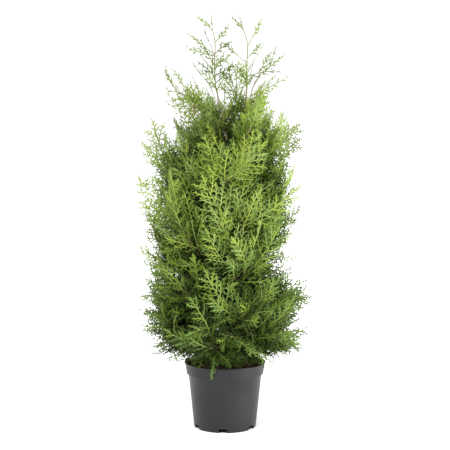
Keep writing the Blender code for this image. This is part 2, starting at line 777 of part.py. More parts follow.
def pot_profile():
    """The pot's section as (radius, height), out under the foot, up the outside and down the inside."""
    skirt_foot = POT_HEIGHT - SKIRT_HEIGHT
    return (
        (0.0, 0.0),
        (RECESS_INNER, 0.0),
        (RECESS_INNER + RECESS_SLOPE, RECESS_DEPTH),
        (RECESS_OUTER - RECESS_SLOPE, RECESS_DEPTH),
        (RECESS_OUTER, 0.0),
        (BODY_FOOT_RADIUS - FOOT_BEVEL, 0.0),
        (BODY_FOOT_RADIUS, FOOT_BEVEL),
        (BODY_TOP_RADIUS, skirt_foot),
        (SKIRT_FOOT_RADIUS, skirt_foot + 0.0015),
        (SKIRT_TOP_RADIUS, POT_HEIGHT - LIP_HEIGHT - 0.001),
        (LIP_RADIUS, POT_HEIGHT - LIP_HEIGHT + 0.0006),
        (LIP_RADIUS - 0.0008, POT_HEIGHT),
        (SKIRT_TOP_RADIUS - WALL, POT_HEIGHT),
        (SKIRT_FOOT_RADIUS - WALL, skirt_foot + SKIRT_STEP),
        (BODY_TOP_RADIUS - WALL, skirt_foot),
        (BODY_FOOT_RADIUS - WALL, RECESS_DEPTH + FLOOR),
        (0.0, RECESS_DEPTH + FLOOR),
    )


def turned_mesh(name, profile, sides):
    """The profile spun once round Z, its ends closed on the axis."""
    bm = bmesh.new()
    verts = [bm.verts.new((radius, 0.0, height)) for radius, height in profile]
    edges = [bm.edges.new(pair) for pair in zip(verts, verts[1:])]
    bmesh.ops.spin(
        bm, geom=verts + edges, cent=(0, 0, 0), axis=(0, 0, 1), angle=2 * math.pi, steps=sides, use_merge=True
    )
    bmesh.ops.remove_doubles(bm, verts=bm.verts, dist=1e-5)
    return mesh_from(bm, name)


def make_pot(finish):
    pot = add_object("pot", turned_mesh("pot", pot_profile(), POT_SIDES), finish)
    for k in range(NOTCHES):
        azimuth = FIRST_NOTCH + 2 * math.pi * k / NOTCHES
        bm = bmesh.new()
        bmesh.ops.create_cube(bm, size=1.0)
        bmesh.ops.scale(bm, vec=(NOTCH_DEPTH, NOTCH_WIDTH, 2 * NOTCH_HEIGHT), verts=bm.verts)
        cutter = add_object(f"notch_{k + 1}", mesh_from(bm, "notch"))
        cutter.location = polar(BODY_FOOT_RADIUS, azimuth, 0.0)
        cutter.rotation_euler = (0.0, 0.0, azimuth)
        cutter.hide_render = True
        cutter.display_type = "WIRE"
        cut = pot.modifiers.new(f"notch {k + 1}", "BOOLEAN")
        cut.operation = "DIFFERENCE"
        cut.object = cutter
    pot.data.shade_smooth()
    pot.data.set_sharp_from_angle(angle=math.radians(30))


def make_soil(finish):
    """One plug of growing medium, clear of the wall and the floor all round."""
    floor = RECESS_DEPTH + FLOOR
    skirt_foot = POT_HEIGHT - SKIRT_HEIGHT
    wall = (
        (floor, BODY_FOOT_RADIUS - WALL),
        (skirt_foot, BODY_TOP_RADIUS - WALL),
        (skirt_foot + SKIRT_STEP, SKIRT_FOOT_RADIUS - WALL),
        (POT_HEIGHT, SKIRT_TOP_RADIUS - WALL),
    )
    heights = (floor + GAP, skirt_foot, skirt_foot + SKIRT_STEP, SOIL_EDGE)
    profile = [(0.0, floor + GAP), *((float(profile_at(wall, z)) - SOIL_CLEARANCE, z) for z in heights)]
    profile += [(SOIL_BROW[0], SOIL_EDGE + SOIL_BROW[1]), (SOIL_FLAT_RADIUS, SOIL_CROWN), (0.0, SOIL_CROWN)]
    soil = add_object("growing_medium", turned_mesh("growing_medium", profile, SOIL_SIDES), finish)
    soil.data.shade_smooth()


# ---------------------------------------------------------------- the whole plant


def plan_plant():
    """(limbs by name, masses): every axis, twig and spray, worked out before any solid is made."""
    trunk = plan_trunk()
    limbs = {"trunk": trunk, "second_leader": plan_second_leader(trunk)}
    plan = plan_shoots(limbs) + plan_tiers(trunk)
    boughs = {f"bough_{mass['name']}": mass["bough"] for mass in plan if "bough" in mass}
    space = Space(plan, [*limbs.values(), *boughs.values()])
    for index, mass in enumerate(plan):
        rng = random.Random(GROWTH_SEED + index)
        grow = grow_shoot if "shoot" in mass else grow_mass
        grow(space, index, mass, rng)
    return limbs, boughs, plan


def main():
    clear_scene()
    plastic = material("pot plastic", (0.060, 0.060, 0.064), 0.45)
    peat = material("growing medium", (0.055, 0.026, 0.014), 0.95)
    bark = material("bark", (0.150, 0.080, 0.045), 0.85)
    foliage = material("foliage", (0.150, 0.260, 0.035), 0.60)

    make_pot(plastic)
    make_soil(peat)
    limbs, boughs, plan = plan_plant()
    trunk = limbs["trunk"]
    add_object("trunk", limb_mesh("trunk", trunk, TRUNK_SIDES), bark)
    add_object("second_leader", limb_mesh("second_leader", limbs["second_leader"], LEADER_SIDES, trunk), bark)
    for name, bough in boughs.items():
        add_object(name, limb_mesh(name, bough, BOUGH_SIDES, trunk), bark)
    for mass in plan:
        make_mass(mass, foliage)


main()
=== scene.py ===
"""The looks of a young columnar thuja in a round nursery pot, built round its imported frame.

Laid out as an add-on: each piece, or group of like pieces, has an operator in the sidebar's Thuja tab.
The crown grows by a seeded rule: boughs from the trunk, a stem in each mass, twigs off the stem,
and flat sprays of scale leaves at the ends and sides of the twigs.
"""

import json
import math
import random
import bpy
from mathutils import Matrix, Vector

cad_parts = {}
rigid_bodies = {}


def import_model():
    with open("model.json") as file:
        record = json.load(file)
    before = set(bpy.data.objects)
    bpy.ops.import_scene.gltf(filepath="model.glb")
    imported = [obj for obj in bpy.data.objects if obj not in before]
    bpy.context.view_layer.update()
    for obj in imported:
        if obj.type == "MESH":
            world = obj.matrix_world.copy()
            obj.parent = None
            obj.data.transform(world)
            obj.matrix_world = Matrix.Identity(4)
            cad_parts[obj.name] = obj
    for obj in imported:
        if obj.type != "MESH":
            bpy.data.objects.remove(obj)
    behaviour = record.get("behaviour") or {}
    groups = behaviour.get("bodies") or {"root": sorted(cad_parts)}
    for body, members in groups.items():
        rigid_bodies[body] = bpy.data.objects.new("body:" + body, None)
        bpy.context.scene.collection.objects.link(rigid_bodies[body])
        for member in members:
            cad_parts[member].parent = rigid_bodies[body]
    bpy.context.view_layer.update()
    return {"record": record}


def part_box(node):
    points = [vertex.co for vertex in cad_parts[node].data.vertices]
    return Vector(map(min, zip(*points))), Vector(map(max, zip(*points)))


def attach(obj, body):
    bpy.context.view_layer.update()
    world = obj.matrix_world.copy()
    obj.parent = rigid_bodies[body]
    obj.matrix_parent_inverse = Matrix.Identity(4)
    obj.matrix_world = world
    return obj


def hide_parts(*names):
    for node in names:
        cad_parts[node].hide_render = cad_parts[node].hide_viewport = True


bl_info = {
    "name": "Potted Thuja",
    "version": (1, 0, 0),
    "blender": (4, 5, 0),
    "location": "View3D > Sidebar > Thuja",
    "description": "Builds a potted thuja with flat sprays of scale leaves round its solid frame",
    "category": "Add Mesh",
}

from collections import namedtuple
from functools import lru_cache

import bpy
import numpy as np
from bpy.props import FloatProperty, FloatVectorProperty, IntProperty, PointerProperty
from mathutils import Matrix, Vector
from mathutils.geometry import intersect_point_line

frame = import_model()
POT_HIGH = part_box("pot")[1]
SOIL_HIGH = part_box("growing_medium")[1]
MASSES = sorted(r["node"] for r in frame["record"]["subparts"] if r["material_slot"] == "foliage")

# ---------------------------------------------------------------- sizes of the plant, in metres

GAP = 0.0003
UP = Vector((0.0, 0.0, 1.0))
UP_ROW = np.array(UP)
FRONT = Vector((0.0, -1.0, 0.0))
POT_HEIGHT = POT_HIGH.z
LIP_RADIUS = POT_HIGH.x
POT_INSIDE = 0.100
SOIL_CROWN = 0.1745
SOIL_EDGE_HEIGHT = 0.1690

# Limbs: (x, y, z) of the points that each smooth axis passes through, and radii at foot and tip.
TRUNK_AXIS = (
    (0.000, 0.000, SOIL_CROWN + GAP),
    (0.003, 0.001, 0.300),
    (-0.002, 0.004, 0.450),
    (0.002, 0.003, 0.620),
    (0.006, 0.001, 0.760),
    (0.001, 0.000, 0.830),
    (-0.011, -0.002, 0.872),
    (-0.018, -0.003, 0.905),
)
TRUNK_IN_SOIL = 0.006  # how far the bark runs down into the medium
TRUNK_FLARE_RADIUS = 0.0150
TRUNK_FLARE_HEIGHT = 0.034
TRUNK_FOOT_RADIUS = 0.0092
TRUNK_TIP_RADIUS = 0.0023
LEADER_ROOT_HEIGHT = 0.300
LEADER_AXIS = (
    (0.030, -0.022, 0.400),
    (0.046, -0.034, 0.500),
    (0.047, -0.036, 0.630),
    (0.050, -0.026, 0.750),
    (0.057, -0.015, 0.840),
    (0.058, -0.010, 0.898),
)
LEADER_FOOT_RADIUS = 0.0052
LEADER_TIP_RADIUS = 0.0021
BOUGH_FOOT_RADIUS = 0.0046
BOUGH_TIP_RADIUS = 0.0026
STEM_FOOT_RADIUS = 0.0023
STEM_TIP_RADIUS = 0.0013
STEM_ARCH = 0.008  # rise of a stem's middle over the straight way to its tip
CLEAR_OF_PARENT = 0.001

# Tiers of masses: count and first azimuth in degrees, height on the trunk, (radius, height) where the
# bough enters, or None, height of the stem's end, core radius or 0, spray length and rise, twigs.
Tier = namedtuple("Tier", "name count first foot entry end core spray rise twigs")
TIERS = (
    Tier("skirt", 6, -105.0, 0.190, (0.056, 0.211), 0.230, 0.036, 0.110, 0.05, 4),
    Tier("lower", 6, -75.0, 0.218, (0.058, 0.262), 0.330, 0.046, 0.118, 0.35, 4),
    Tier("middle", 6, -69.0, 0.348, (0.060, 0.392), 0.455, 0.046, 0.118, 0.60, 4),
    Tier("upper", 5, -72.0, 0.452, None, 0.575, 0.045, 0.118, 0.80, 4),
    Tier("shoulder", 5, -90.0, 0.574, None, 0.700, 0.036, 0.112, 1.00, 4),
    Tier("top", 4, -60.0, 0.700, None, 0.826, 0.0, 0.092, 1.30, 3),
)
WHORL_STEP = 0.054
CORE_DRAWS = 11  # random numbers that a dense mass's core takes in the solids' rule

SPRAY_OUTLINE = ((0.17, 0.130), (0.33, 0.065), (0.52, 0.245), (0.57, 0.080), (0.80, 0.135))
SPRAY_STAGGER = 0.025
SPRAY_HUB = 0.40
SPRAY_SAG = 0.10
SPRAY_OVERHANG = 0.74
ROOTING = 0.005  # how far a spray's foot runs back into its twig, and one's on a twig's side
SIDE_ROOTING = 0.0006
FREE_SHARE = 0.15
SPRAY_SPACING = 0.007
CANDIDATES = 16
SPACE_MARGIN = 0.0016
LIMB_MARGIN = 0.0016
CROWN_TOP = 1.130

# Reach of the crown from the pot's axis, as (height, radius), to the right, to the left and in depth.
REACH_RIGHT = (
    (0.186, 0.133), (0.212, 0.186), (0.250, 0.226), (0.310, 0.240), (0.400, 0.255),
    (0.440, 0.215), (0.490, 0.186), (0.560, 0.205), (0.640, 0.234), (0.705, 0.258),
    (0.760, 0.214), (0.860, 0.238), (0.900, 0.163), (1.030, 0.169), (1.090, 0.112), (1.132, 0.071),
)
REACH_LEFT = (
    (0.186, 0.128), (0.212, 0.186), (0.250, 0.228), (0.360, 0.247), (0.420, 0.258),
    (0.500, 0.245), (0.550, 0.230), (0.600, 0.246), (0.700, 0.238), (0.790, 0.241),
    (0.830, 0.193), (0.980, 0.175), (1.000, 0.112), (1.060, 0.108), (1.100, 0.084), (1.132, 0.076),
)
REACH_DEPTH = (
    (0.186, 0.134), (0.212, 0.188), (0.250, 0.224), (0.420, 0.247), (0.600, 0.238),
    (0.760, 0.224), (0.860, 0.188), (0.940, 0.133), (1.132, 0.082),
)

CROWN = (REACH_RIGHT, REACH_LEFT, REACH_DEPTH)

# Reach of the dense body within the crown: only single shoots and fans stand out past it.
BODY = (
    (
        (0.200, 0.172), (0.262, 0.213), (0.352, 0.238), (0.420, 0.196), (0.462, 0.154), (0.573, 0.186),
        (0.682, 0.186), (0.791, 0.172), (0.886, 0.136), (0.940, 0.090), (0.967, 0.070), (1.130, 0.050),
    ),
    (
        (0.200, 0.200), (0.262, 0.225), (0.352, 0.227), (0.462, 0.226), (0.573, 0.213), (0.682, 0.222),
        (0.740, 0.204), (0.791, 0.154), (0.886, 0.152), (0.940, 0.110), (0.967, 0.074), (1.130, 0.050),
    ),
    (
        (0.200, 0.160), (0.262, 0.204), (0.352, 0.212), (0.462, 0.192), (0.573, 0.188), (0.682, 0.190),
        (0.791, 0.160), (0.886, 0.128), (0.967, 0.066), (1.130, 0.050),
    ),
)

# Reach of the fans, which stand out past the body.
WISPS = (
    (
        (0.200, 0.190), (0.262, 0.238), (0.352, 0.240), (0.420, 0.204), (0.462, 0.164), (0.520, 0.184),
        (0.573, 0.212), (0.682, 0.226), (0.791, 0.226), (0.835, 0.228), (0.862, 0.155), (0.967, 0.140),
        (1.130, 0.080),
    ),
    (
        (0.200, 0.184), (0.262, 0.222), (0.352, 0.242), (0.462, 0.242), (0.573, 0.230), (0.682, 0.240),
        (0.791, 0.216), (0.830, 0.190), (0.886, 0.165), (0.967, 0.105), (1.130, 0.080),
    ),
    (
        (0.200, 0.172), (0.262, 0.218), (0.352, 0.236), (0.462, 0.215), (0.573, 0.214), (0.682, 0.225),
        (0.791, 0.205), (0.860, 0.160), (0.967, 0.115), (1.130, 0.080),
    ),
)

# Places where a limb or the sky shows between the sprays: lowest and highest x, lowest and highest z, and
# how far back they reach in y.
WINDOWS = (
    (-0.004, 0.010, 0.790, 0.845, -0.02),
    (-0.015, 0.001, 0.845, 0.885, -0.02),
    (-0.027, -0.011, 0.885, 0.930, -0.02),
    (-0.106, -0.056, 0.862, 0.965, 0.30),
    (0.110, 0.150, 0.872, 1.010, 0.30),
)

# Open shoots at the top: parent limb, height of the foot or None at its tip, the stem's points, the
# tips that its first twigs reach for, and its number of further twigs.
Shoot = namedtuple("Shoot", "name parent foot stem tips twigs")
SHOOTS = (
    Shoot(
        "leader_left", "trunk", None,
        ((-0.026, -0.004, 0.945), (-0.028, -0.004, 1.005), (-0.027, -0.003, 1.052), (-0.035, -0.002, 1.095)),
        ((-0.073, -0.010, 1.126), (0.012, 0.012, 1.106), (-0.099, -0.022, 1.072), (0.018, -0.030, 1.022)),
        3,
    ),
    Shoot(
        "leader_right", "second_leader", None,
        ((0.058, -0.008, 0.935), (0.059, -0.006, 0.995), (0.061, -0.004, 1.050), (0.048, -0.002, 1.096)),
        ((0.019, -0.008, 1.120), (0.102, 0.006, 1.121), (-0.012, 0.016, 1.056)),
        3,
    ),
    Shoot(
        "side_left", "trunk", 0.846,
        ((-0.060, -0.006, 0.890), (-0.115, -0.010, 0.915), (-0.144, -0.012, 0.940)),
        ((-0.166, -0.014, 0.986), (-0.142, 0.010, 0.984)),
        3,
    ),
    Shoot(
        "side_right", "second_leader", 0.862,
        ((0.080, -0.006, 0.945), (0.112, 0.004, 0.985)),
        ((0.163, 0.010, 1.021), (0.124, 0.014, 1.030)),
        3,
    ),
    Shoot(
        "side_middle", "second_leader", 0.832,
        ((0.034, 0.016, 0.905), (0.020, 0.030, 0.950)),
        ((-0.014, 0.040, 0.984), (0.028, 0.048, 0.998)),
        3,
    ),
)
SHOOT_STEM_RADIUS = 0.0017
SHOOT_TIP_RADIUS = 0.0009
SHOOT_TWIG_RADIUS = 0.0010
SHOOT_SPRAY = 0.062
SHOOT_RISE = 0.75
SLIM = 0.75

DROOP_MASS = "skirt_1"
DROOP_KNEE = Vector((-0.031, -0.112, 0.214))
DROOP_TIP = Vector((-0.037, -0.1240, 0.153))
GROWTH_SEED = 11

# Finer growth, past what the solids carry: how many places it starts from, how far it reaches, how
# steeply its sprays point up, as (height, rise for each unit outwards), and how near the pot it may come.
FINE_SEED = 400
FINE_CANDIDATES = 20
FINE_STEM_TWIGS = 17
FINE_STEM_BUNCHING = 0.7  # below 1, more of them stand towards the stem's end
FINE_TWIG_SHARES = (0.25, 0.55, 0.85)
FINE_BOUGH_SHARES = (0.2, 0.4, 0.6, 0.8, 1.0)
FINE_TRUNK_GAP = 0.004
FINE_LEADER_GAP = 0.008
TWIG_RADIUS = 0.0012
FINE_TWIG_RADIUS = 0.0009
FINE_REACH = (0.84, 1.04)
FINE_CEILING = (0.860, 0.11)
FINE_LENGTH = 0.116
CROWN_RISE = (
    (0.18, -0.45), (0.25, -0.05), (0.35, 0.30), (0.50, 0.65), (0.70, 0.95), (0.85, 1.25), (1.00, 1.60),
)
FINE_SAMPLES = np.array([(0.25, 0.0), (0.5, 0.20), (0.5, -0.20), (0.78, 0.12), (0.78, -0.12), (1.0, 0.0)])
OVER_SOIL = 0.0025
OVER_LIP = 0.0045
BESIDE_LIP = 0.006  # this far outside the lip, growth keeps higher over it
BESIDE_LIP_HEIGHT = 0.012

# The hem: low sprays round the pot's lip. One in five stands over the medium, one over the lip and the
# others outside it: ranges of the tip's height, and of its radius in metres or in shares of the body's.
HEM_SPRAYS = 150
HEM_HEIGHTS = ((0.184, 0.196), (0.187, 0.200), (0.200, 0.245))
HEM_RADII = ((0.076, 0.103), (0.108, 0.145), (0.88, 1.08))

# At the front the growing medium shows between the lip and the foliage: past which y, across which x,
# how far the foliage keeps above the lip, and how fast that gap grows outwards.
SOIL_FRONT = -0.03
SOIL_VIEW = (-0.064, 0.086)
SOIL_GAP = 0.009
SOIL_SLOPE = 0.205

# Sprigs: slender open sprays on the highest dense masses.
SPRIG_MASSES = ("top_", "shoulder_2", "shoulder_5")
SPRIGS = 11
SPRIG_LENGTHS = (0.050, 0.100)
SPRIG_CEILING = 0.938

# Fans: long young twigs with small sprays down both sides, in one arching plane.
FANS = 6
FAN_LENGTHS = (0.095, 0.180)
FAN_SIDES = 11
FAN_SPREAD = (0.32, 0.50)
FAN_TWIG_RADIUS = 0.0017

# Open branches of the top's shoots: shoot, height where the branch leaves the stem, and its tip.
TOP_BRANCHES = (
    ("leader_left", 1.018, (-0.103, -0.012, 1.039)),
    ("leader_left", 1.024, (0.018, -0.010, 1.058)),
    ("leader_left", 0.990, (-0.062, -0.050, 1.046)),
    ("leader_left", 0.962, (-0.075, 0.015, 1.004)),
    ("leader_left", 0.967, (0.026, -0.030, 0.992)),
    ("leader_left", 0.930, (-0.078, 0.030, 0.985)),
    ("leader_left", 0.950, (-0.034, -0.085, 1.000)),
    ("leader_left", 0.975, (-0.020, 0.070, 1.034)),
    ("leader_left", 0.925, (0.010, 0.085, 0.975)),
    ("leader_left", 0.915, (-0.040, -0.075, 0.958)),
    ("leader_left", 0.945, (0.014, -0.050, 0.990)),
    ("leader_left", 0.922, (0.022, 0.030, 0.962)),
    ("leader_left", 0.982, (-0.005, -0.045, 1.028)),
    ("leader_right", 0.945, (0.030, -0.060, 0.985)),
    ("leader_right", 0.962, (0.141, -0.020, 0.984)),
    ("leader_right", 0.955, (0.001, -0.024, 1.006)),
    ("leader_right", 0.930, (0.060, -0.085, 0.985)),
    ("leader_right", 0.960, (0.048, 0.075, 1.012)),
    ("leader_right", 0.938, (0.074, -0.040, 0.965)),
    ("leader_right", 0.950, (0.036, 0.030, 0.990)),
    ("leader_right", 0.935, (0.028, -0.020, 0.968)),
    ("leader_right", 0.968, (0.034, -0.034, 1.004)),
    ("side_right", 0.910, (0.168, -0.010, 0.962)),
    ("side_right", 0.895, (0.130, -0.050, 0.935)),
    ("side_left", 0.872, (-0.150, -0.035, 0.908)),
    ("side_left", 0.878, (-0.132, 0.030, 0.918)),
    ("side_left", 0.890, (-0.158, -0.010, 0.930)),
    ("side_left", 0.864, (-0.118, -0.060, 0.902)),
    ("side_left", 0.885, (-0.152, -0.036, 0.886)),
    ("side_left", 0.880, (-0.140, 0.032, 0.880)),
    ("side_left", 0.870, (-0.126, -0.052, 0.868)),
    ("side_left", 0.895, (-0.160, 0.006, 0.902)),
    ("side_middle", 0.900, (-0.004, -0.040, 0.965)),
    ("side_middle", 0.915, (0.050, 0.060, 0.975)),
    ("side_middle", 0.880, (0.018, -0.048, 0.932)),
    ("side_middle", 0.872, (0.046, -0.042, 0.926)),
    ("side_middle", 0.890, (-0.012, 0.010, 0.942)),
    ("side_middle", 0.862, (0.028, -0.062, 0.902)),
)

FLATNESS = 0.55  # share of its half width by which a spray's strand stands up in a ridge
PIECE_TRIANGLES = 185000
GOLDEN_ANGLE = math.radians(137.5)


# ---------------------------------------------------------------- what a user may change


def colour_setting(name, description, colour):
    return FloatVectorProperty(name=name, description=description, subtype="COLOR", default=colour)


def length_setting(name, description, length):
    return FloatProperty(name=name, description=description, default=length, unit="LENGTH")


def number_setting(name, description, number):
    return FloatProperty(name=name, description=description, default=number)


class ThujaPotSettings(bpy.types.PropertyGroup):
    wall: length_setting("Wall", "Thickness of the pot's wall", 0.0015)
    skirt_height: length_setting("Skirt height", "Height of the upright band under the rim", 0.033)
    colour: colour_setting("Colour", "Colour of the pot's plastic", (0.0088, 0.0090, 0.0104))
    roughness: number_setting("Roughness", "Roughness of the pot's plastic", 0.42)


class ThujaBarkSettings(bpy.types.PropertyGroup):
    relief: number_setting("Relief", "Depth of the bark's ridges, as a share of the limb's radius", 0.30)
    colour: colour_setting("Colour", "Colour of the old bark", (0.430, 0.345, 0.185))
    twig_colour: colour_setting("Twig colour", "Colour of the young twigs", (0.135, 0.105, 0.040))
    young_colour: colour_setting("Young colour", "Colour of the fans' green twigs", (0.30, 0.37, 0.07))
    shoot_colour: colour_setting("Shoot colour", "Colour of the top's young shoots", (0.225, 0.200, 0.078))


class ThujaSoilSettings(bpy.types.PropertyGroup):
    clods: length_setting("Clods", "Height of the medium's lumps", 0.0035)
    crumbs: IntProperty(name="Crumbs", description="Number of loose bits of bark on top", default=700)
    colour: colour_setting("Colour", "Colour of the moist peat", (0.105, 0.040, 0.020))


class ThujaCrownSettings(bpy.types.PropertyGroup):
    # The lime is partly the young tips' own colour and partly painted light on open, high sprays; the deep
    # green is partly the old inner foliage's colour and partly painted shade on covered, low sprays.
    lime: colour_setting("Lime", "Colour of the youngest sprays", (0.272, 0.355, 0.078))
    leaf: colour_setting("Leaf", "Colour of the grown sprays", (0.134, 0.216, 0.033))
    deep: colour_setting("Deep", "Colour of the oldest inner sprays", (0.010, 0.019, 0.0012))
    roughness: number_setting("Roughness", "Roughness of the scale leaves", 0.55)


class ThujaStageSettings(bpy.types.PropertyGroup):
    distance: length_setting("Distance", "Camera's distance from the pot's axis", 3.0)
    height: length_setting("Height", "Camera's height", 0.795)
    pitch: FloatProperty(
        name="Pitch", description="How far the camera looks down", default=math.radians(4.5), subtype="ANGLE"
    )
    field: FloatProperty(
        name="Field", description="Camera's field of view", default=math.radians(23.2), subtype="ANGLE"
    )
    sky: number_setting("Sky", "Strength of the white surroundings", 1.14)
    key: number_setting("Key", "Strength of the soft key light", 1.7)
    fill: FloatProperty(
        name="Fill", description="Power of the softbox at the right", default=34.0, unit="POWER"
    )


# ---------------------------------------------------------------- lines and directions


def polar(radius, azimuth, height):
    return Vector((radius * math.cos(azimuth), radius * math.sin(azimuth), height))


def profile_at(profile, height):
    heights, radii = zip(*profile)
    return np.interp(height, heights, radii)


def reach(azimuth, height, profiles=CROWN):
    """The radius that way: the right or left reach, turning into the depth."""
    right, left, depth = profiles
    side = np.where(np.cos(azimuth) > 0, profile_at(right, height), profile_at(left, height))
    share = np.cos(azimuth) ** 2
    return share * side + (1 - share) * profile_at(depth, height)


def smooth_line(points, per_span):
    """A Catmull-Rom curve through the points."""
    points = [Vector(p) for p in points]
    ends = [2 * points[0] - points[1], *points, 2 * points[-1] - points[-2]]
    line = []
    for a, b, c, d in zip(ends, ends[1:], ends[2:], ends[3:]):
        for t in np.linspace(0.0, 1.0, per_span, endpoint=False).tolist():
            bend = (2 * a - 5 * b + 4 * c - d) * t**2 + (3 * b - a - 3 * c + d) * t**3
            line.append(0.5 * (2 * b + (c - a) * t + bend))
    line.append(points[-1])
    return line


def headings_of(line):
    ends = [line[0], *line, line[-1]]
    return [(after - before).normalized() for before, after in zip(ends, ends[2:])]


def along(line, share):
    """(point, direction) at that share of the line's length."""
    lengths = [(b - a).length for a, b in zip(line, line[1:])]
    left = share * sum(lengths)
    for a, b, length in zip(line, line[1:], lengths):
        if left <= length:
            return a.lerp(b, left / length), (b - a).normalized()
        left -= length
    return line[-1].copy(), (line[-1] - line[-2]).normalized()


def at_height(line, height):
    for a, b in zip(line, line[1:]):
        if a.z <= height <= b.z:
            return a.lerp(b, (height - a.z) / (b.z - a.z))
    return line[-1].copy()


def distance_to(line, point):
    best = (point - line[0]).length
    for a, b in zip(line, line[1:]):
        on, share = intersect_point_line(point, a, b)
        on = a if share < 0 else b if share > 1 else on
        best = min(best, (point - on).length)
    return best


def frame_along(direction, hint):
    """A rotation whose Z runs along direction and whose X is as near hint as it can be."""
    z = direction.normalized()
    x = hint - z * hint.dot(z)
    if x.length < 1e-6:
        x = z.orthogonal()
    x.normalize()
    return Matrix((x, z.cross(x), z)).transposed()


# ---------------------------------------------------------------- the plan of limbs and stems


def make_limb(line, foot_radius, tip_radius, headings=None):
    radii = np.linspace(foot_radius, tip_radius, len(line)).tolist()
    return {"line": line, "radii": radii, "headings": headings or headings_of(line)}


def leave_parent(line, parent, foot_radius, tip_radius):
    """The part of a line that lies outside its parent limb, as a limb that remembers its root."""
    clear = radius_near(parent, line[0]) + GAP
    outside = [p for p in line if distance_to(parent["line"], p) > clear + CLEAR_OF_PARENT]
    start = line[0].lerp(outside[0], clear / (outside[0] - line[0]).length)
    limb = make_limb([start, *outside], foot_radius, tip_radius)
    limb["root"] = line[0]
    return limb


def radius_near(limb, point):
    nearest = min(range(len(limb["line"])), key=lambda k: (limb["line"][k] - point).length)
    return limb["radii"][max(nearest - 1, 0)]


def trunk_radius(height):
    """A straight taper with a root flare at its foot."""
    foot, tip = TRUNK_AXIS[0][2], TRUNK_AXIS[-1][2]
    plain = TRUNK_FOOT_RADIUS + (TRUNK_TIP_RADIUS - TRUNK_FOOT_RADIUS) * (height - foot) / (tip - foot)
    flare = max(0.0, 1 - (height - foot) / TRUNK_FLARE_HEIGHT)
    return plain + (TRUNK_FLARE_RADIUS - TRUNK_FOOT_RADIUS) * flare**2


def plan_trunk():
    line = smooth_line(TRUNK_AXIS, 2)
    line[1:1] = [line[0].lerp(line[1], share) for share in (0.18, 0.42, 0.72)]
    trunk = make_limb(line, TRUNK_FOOT_RADIUS, TRUNK_TIP_RADIUS)
    trunk["radii"] = [trunk_radius(point.z) for point in line]
    trunk["headings"][0] = UP
    return trunk


def plan_second_leader(trunk):
    line = smooth_line([at_height(trunk["line"], LEADER_ROOT_HEIGHT), *LEADER_AXIS], 3)
    return leave_parent(line, trunk, LEADER_FOOT_RADIUS, LEADER_TIP_RADIUS)


def plan_tiers(trunk):
    plan = []
    for tier in TIERS:
        for k in range(tier.count):
            azimuth = math.radians(tier.first) + 2 * math.pi * k / tier.count
            lift = WHORL_STEP * (k % 2)
            mass = {"name": f"{tier.name}_{k + 1}", "tier": tier, "azimuth": azimuth}
            add_stem(mass, lift, 0.012 * math.sin(2.4 * k + 9 * tier.foot), trunk)
            plan.append(mass)
    return plan


def add_stem(mass, lift, sway, trunk):
    """The stem from its bough's tip, or from the trunk, to near the crown's surface."""
    tier, azimuth = mass["tier"], mass["azimuth"]
    root = at_height(trunk["line"], tier.foot + lift)
    height = tier.end + lift + sway
    tip = polar(float(reach(azimuth, height)) - SPRAY_OVERHANG * tier.spray, azimuth, height)
    side = polar(sway, azimuth + math.pi / 2, 0.0)
    if tier.entry is None:
        line = smooth_line([root, root.lerp(tip, 0.5) + side + STEM_ARCH * UP, tip], 3)
        mass["stem"] = leave_parent(line, trunk, STEM_FOOT_RADIUS, STEM_TIP_RADIUS)
        return
    entry = polar(tier.entry[0], azimuth, tier.entry[1] + lift)
    whole = smooth_line([root, entry, entry.lerp(tip, 0.5) + side, tip], 3)
    headings = headings_of(whole)
    mass["bough"] = leave_parent(whole[:4], trunk, BOUGH_FOOT_RADIUS, BOUGH_TIP_RADIUS)
    start = whole[3] + headings[3] * GAP
    mass["stem"] = make_limb([start, *whole[4:]], STEM_FOOT_RADIUS, STEM_TIP_RADIUS, headings[3:])


def plan_shoots(limbs):
    plan = []
    for shoot in SHOOTS:
        parent = limbs[shoot.parent]
        mass = {"name": shoot.name, "shoot": shoot}
        if shoot.foot is None:
            start = parent["line"][-1] + parent["headings"][-1] * GAP
            line = smooth_line([start, *shoot.stem], 3)
            foot_radius = min(SHOOT_STEM_RADIUS, parent["radii"][-1])
            mass["stem"] = make_limb(line, foot_radius, SHOOT_TIP_RADIUS)
        else:
            line = smooth_line([at_height(parent["line"], shoot.foot), *shoot.stem], 3)
            mass["stem"] = leave_parent(line, parent, SHOOT_STEM_RADIUS, SHOOT_TIP_RADIUS)
        plan.append(mass)
    return plan


# ---------------------------------------------------------------- each mass's own space


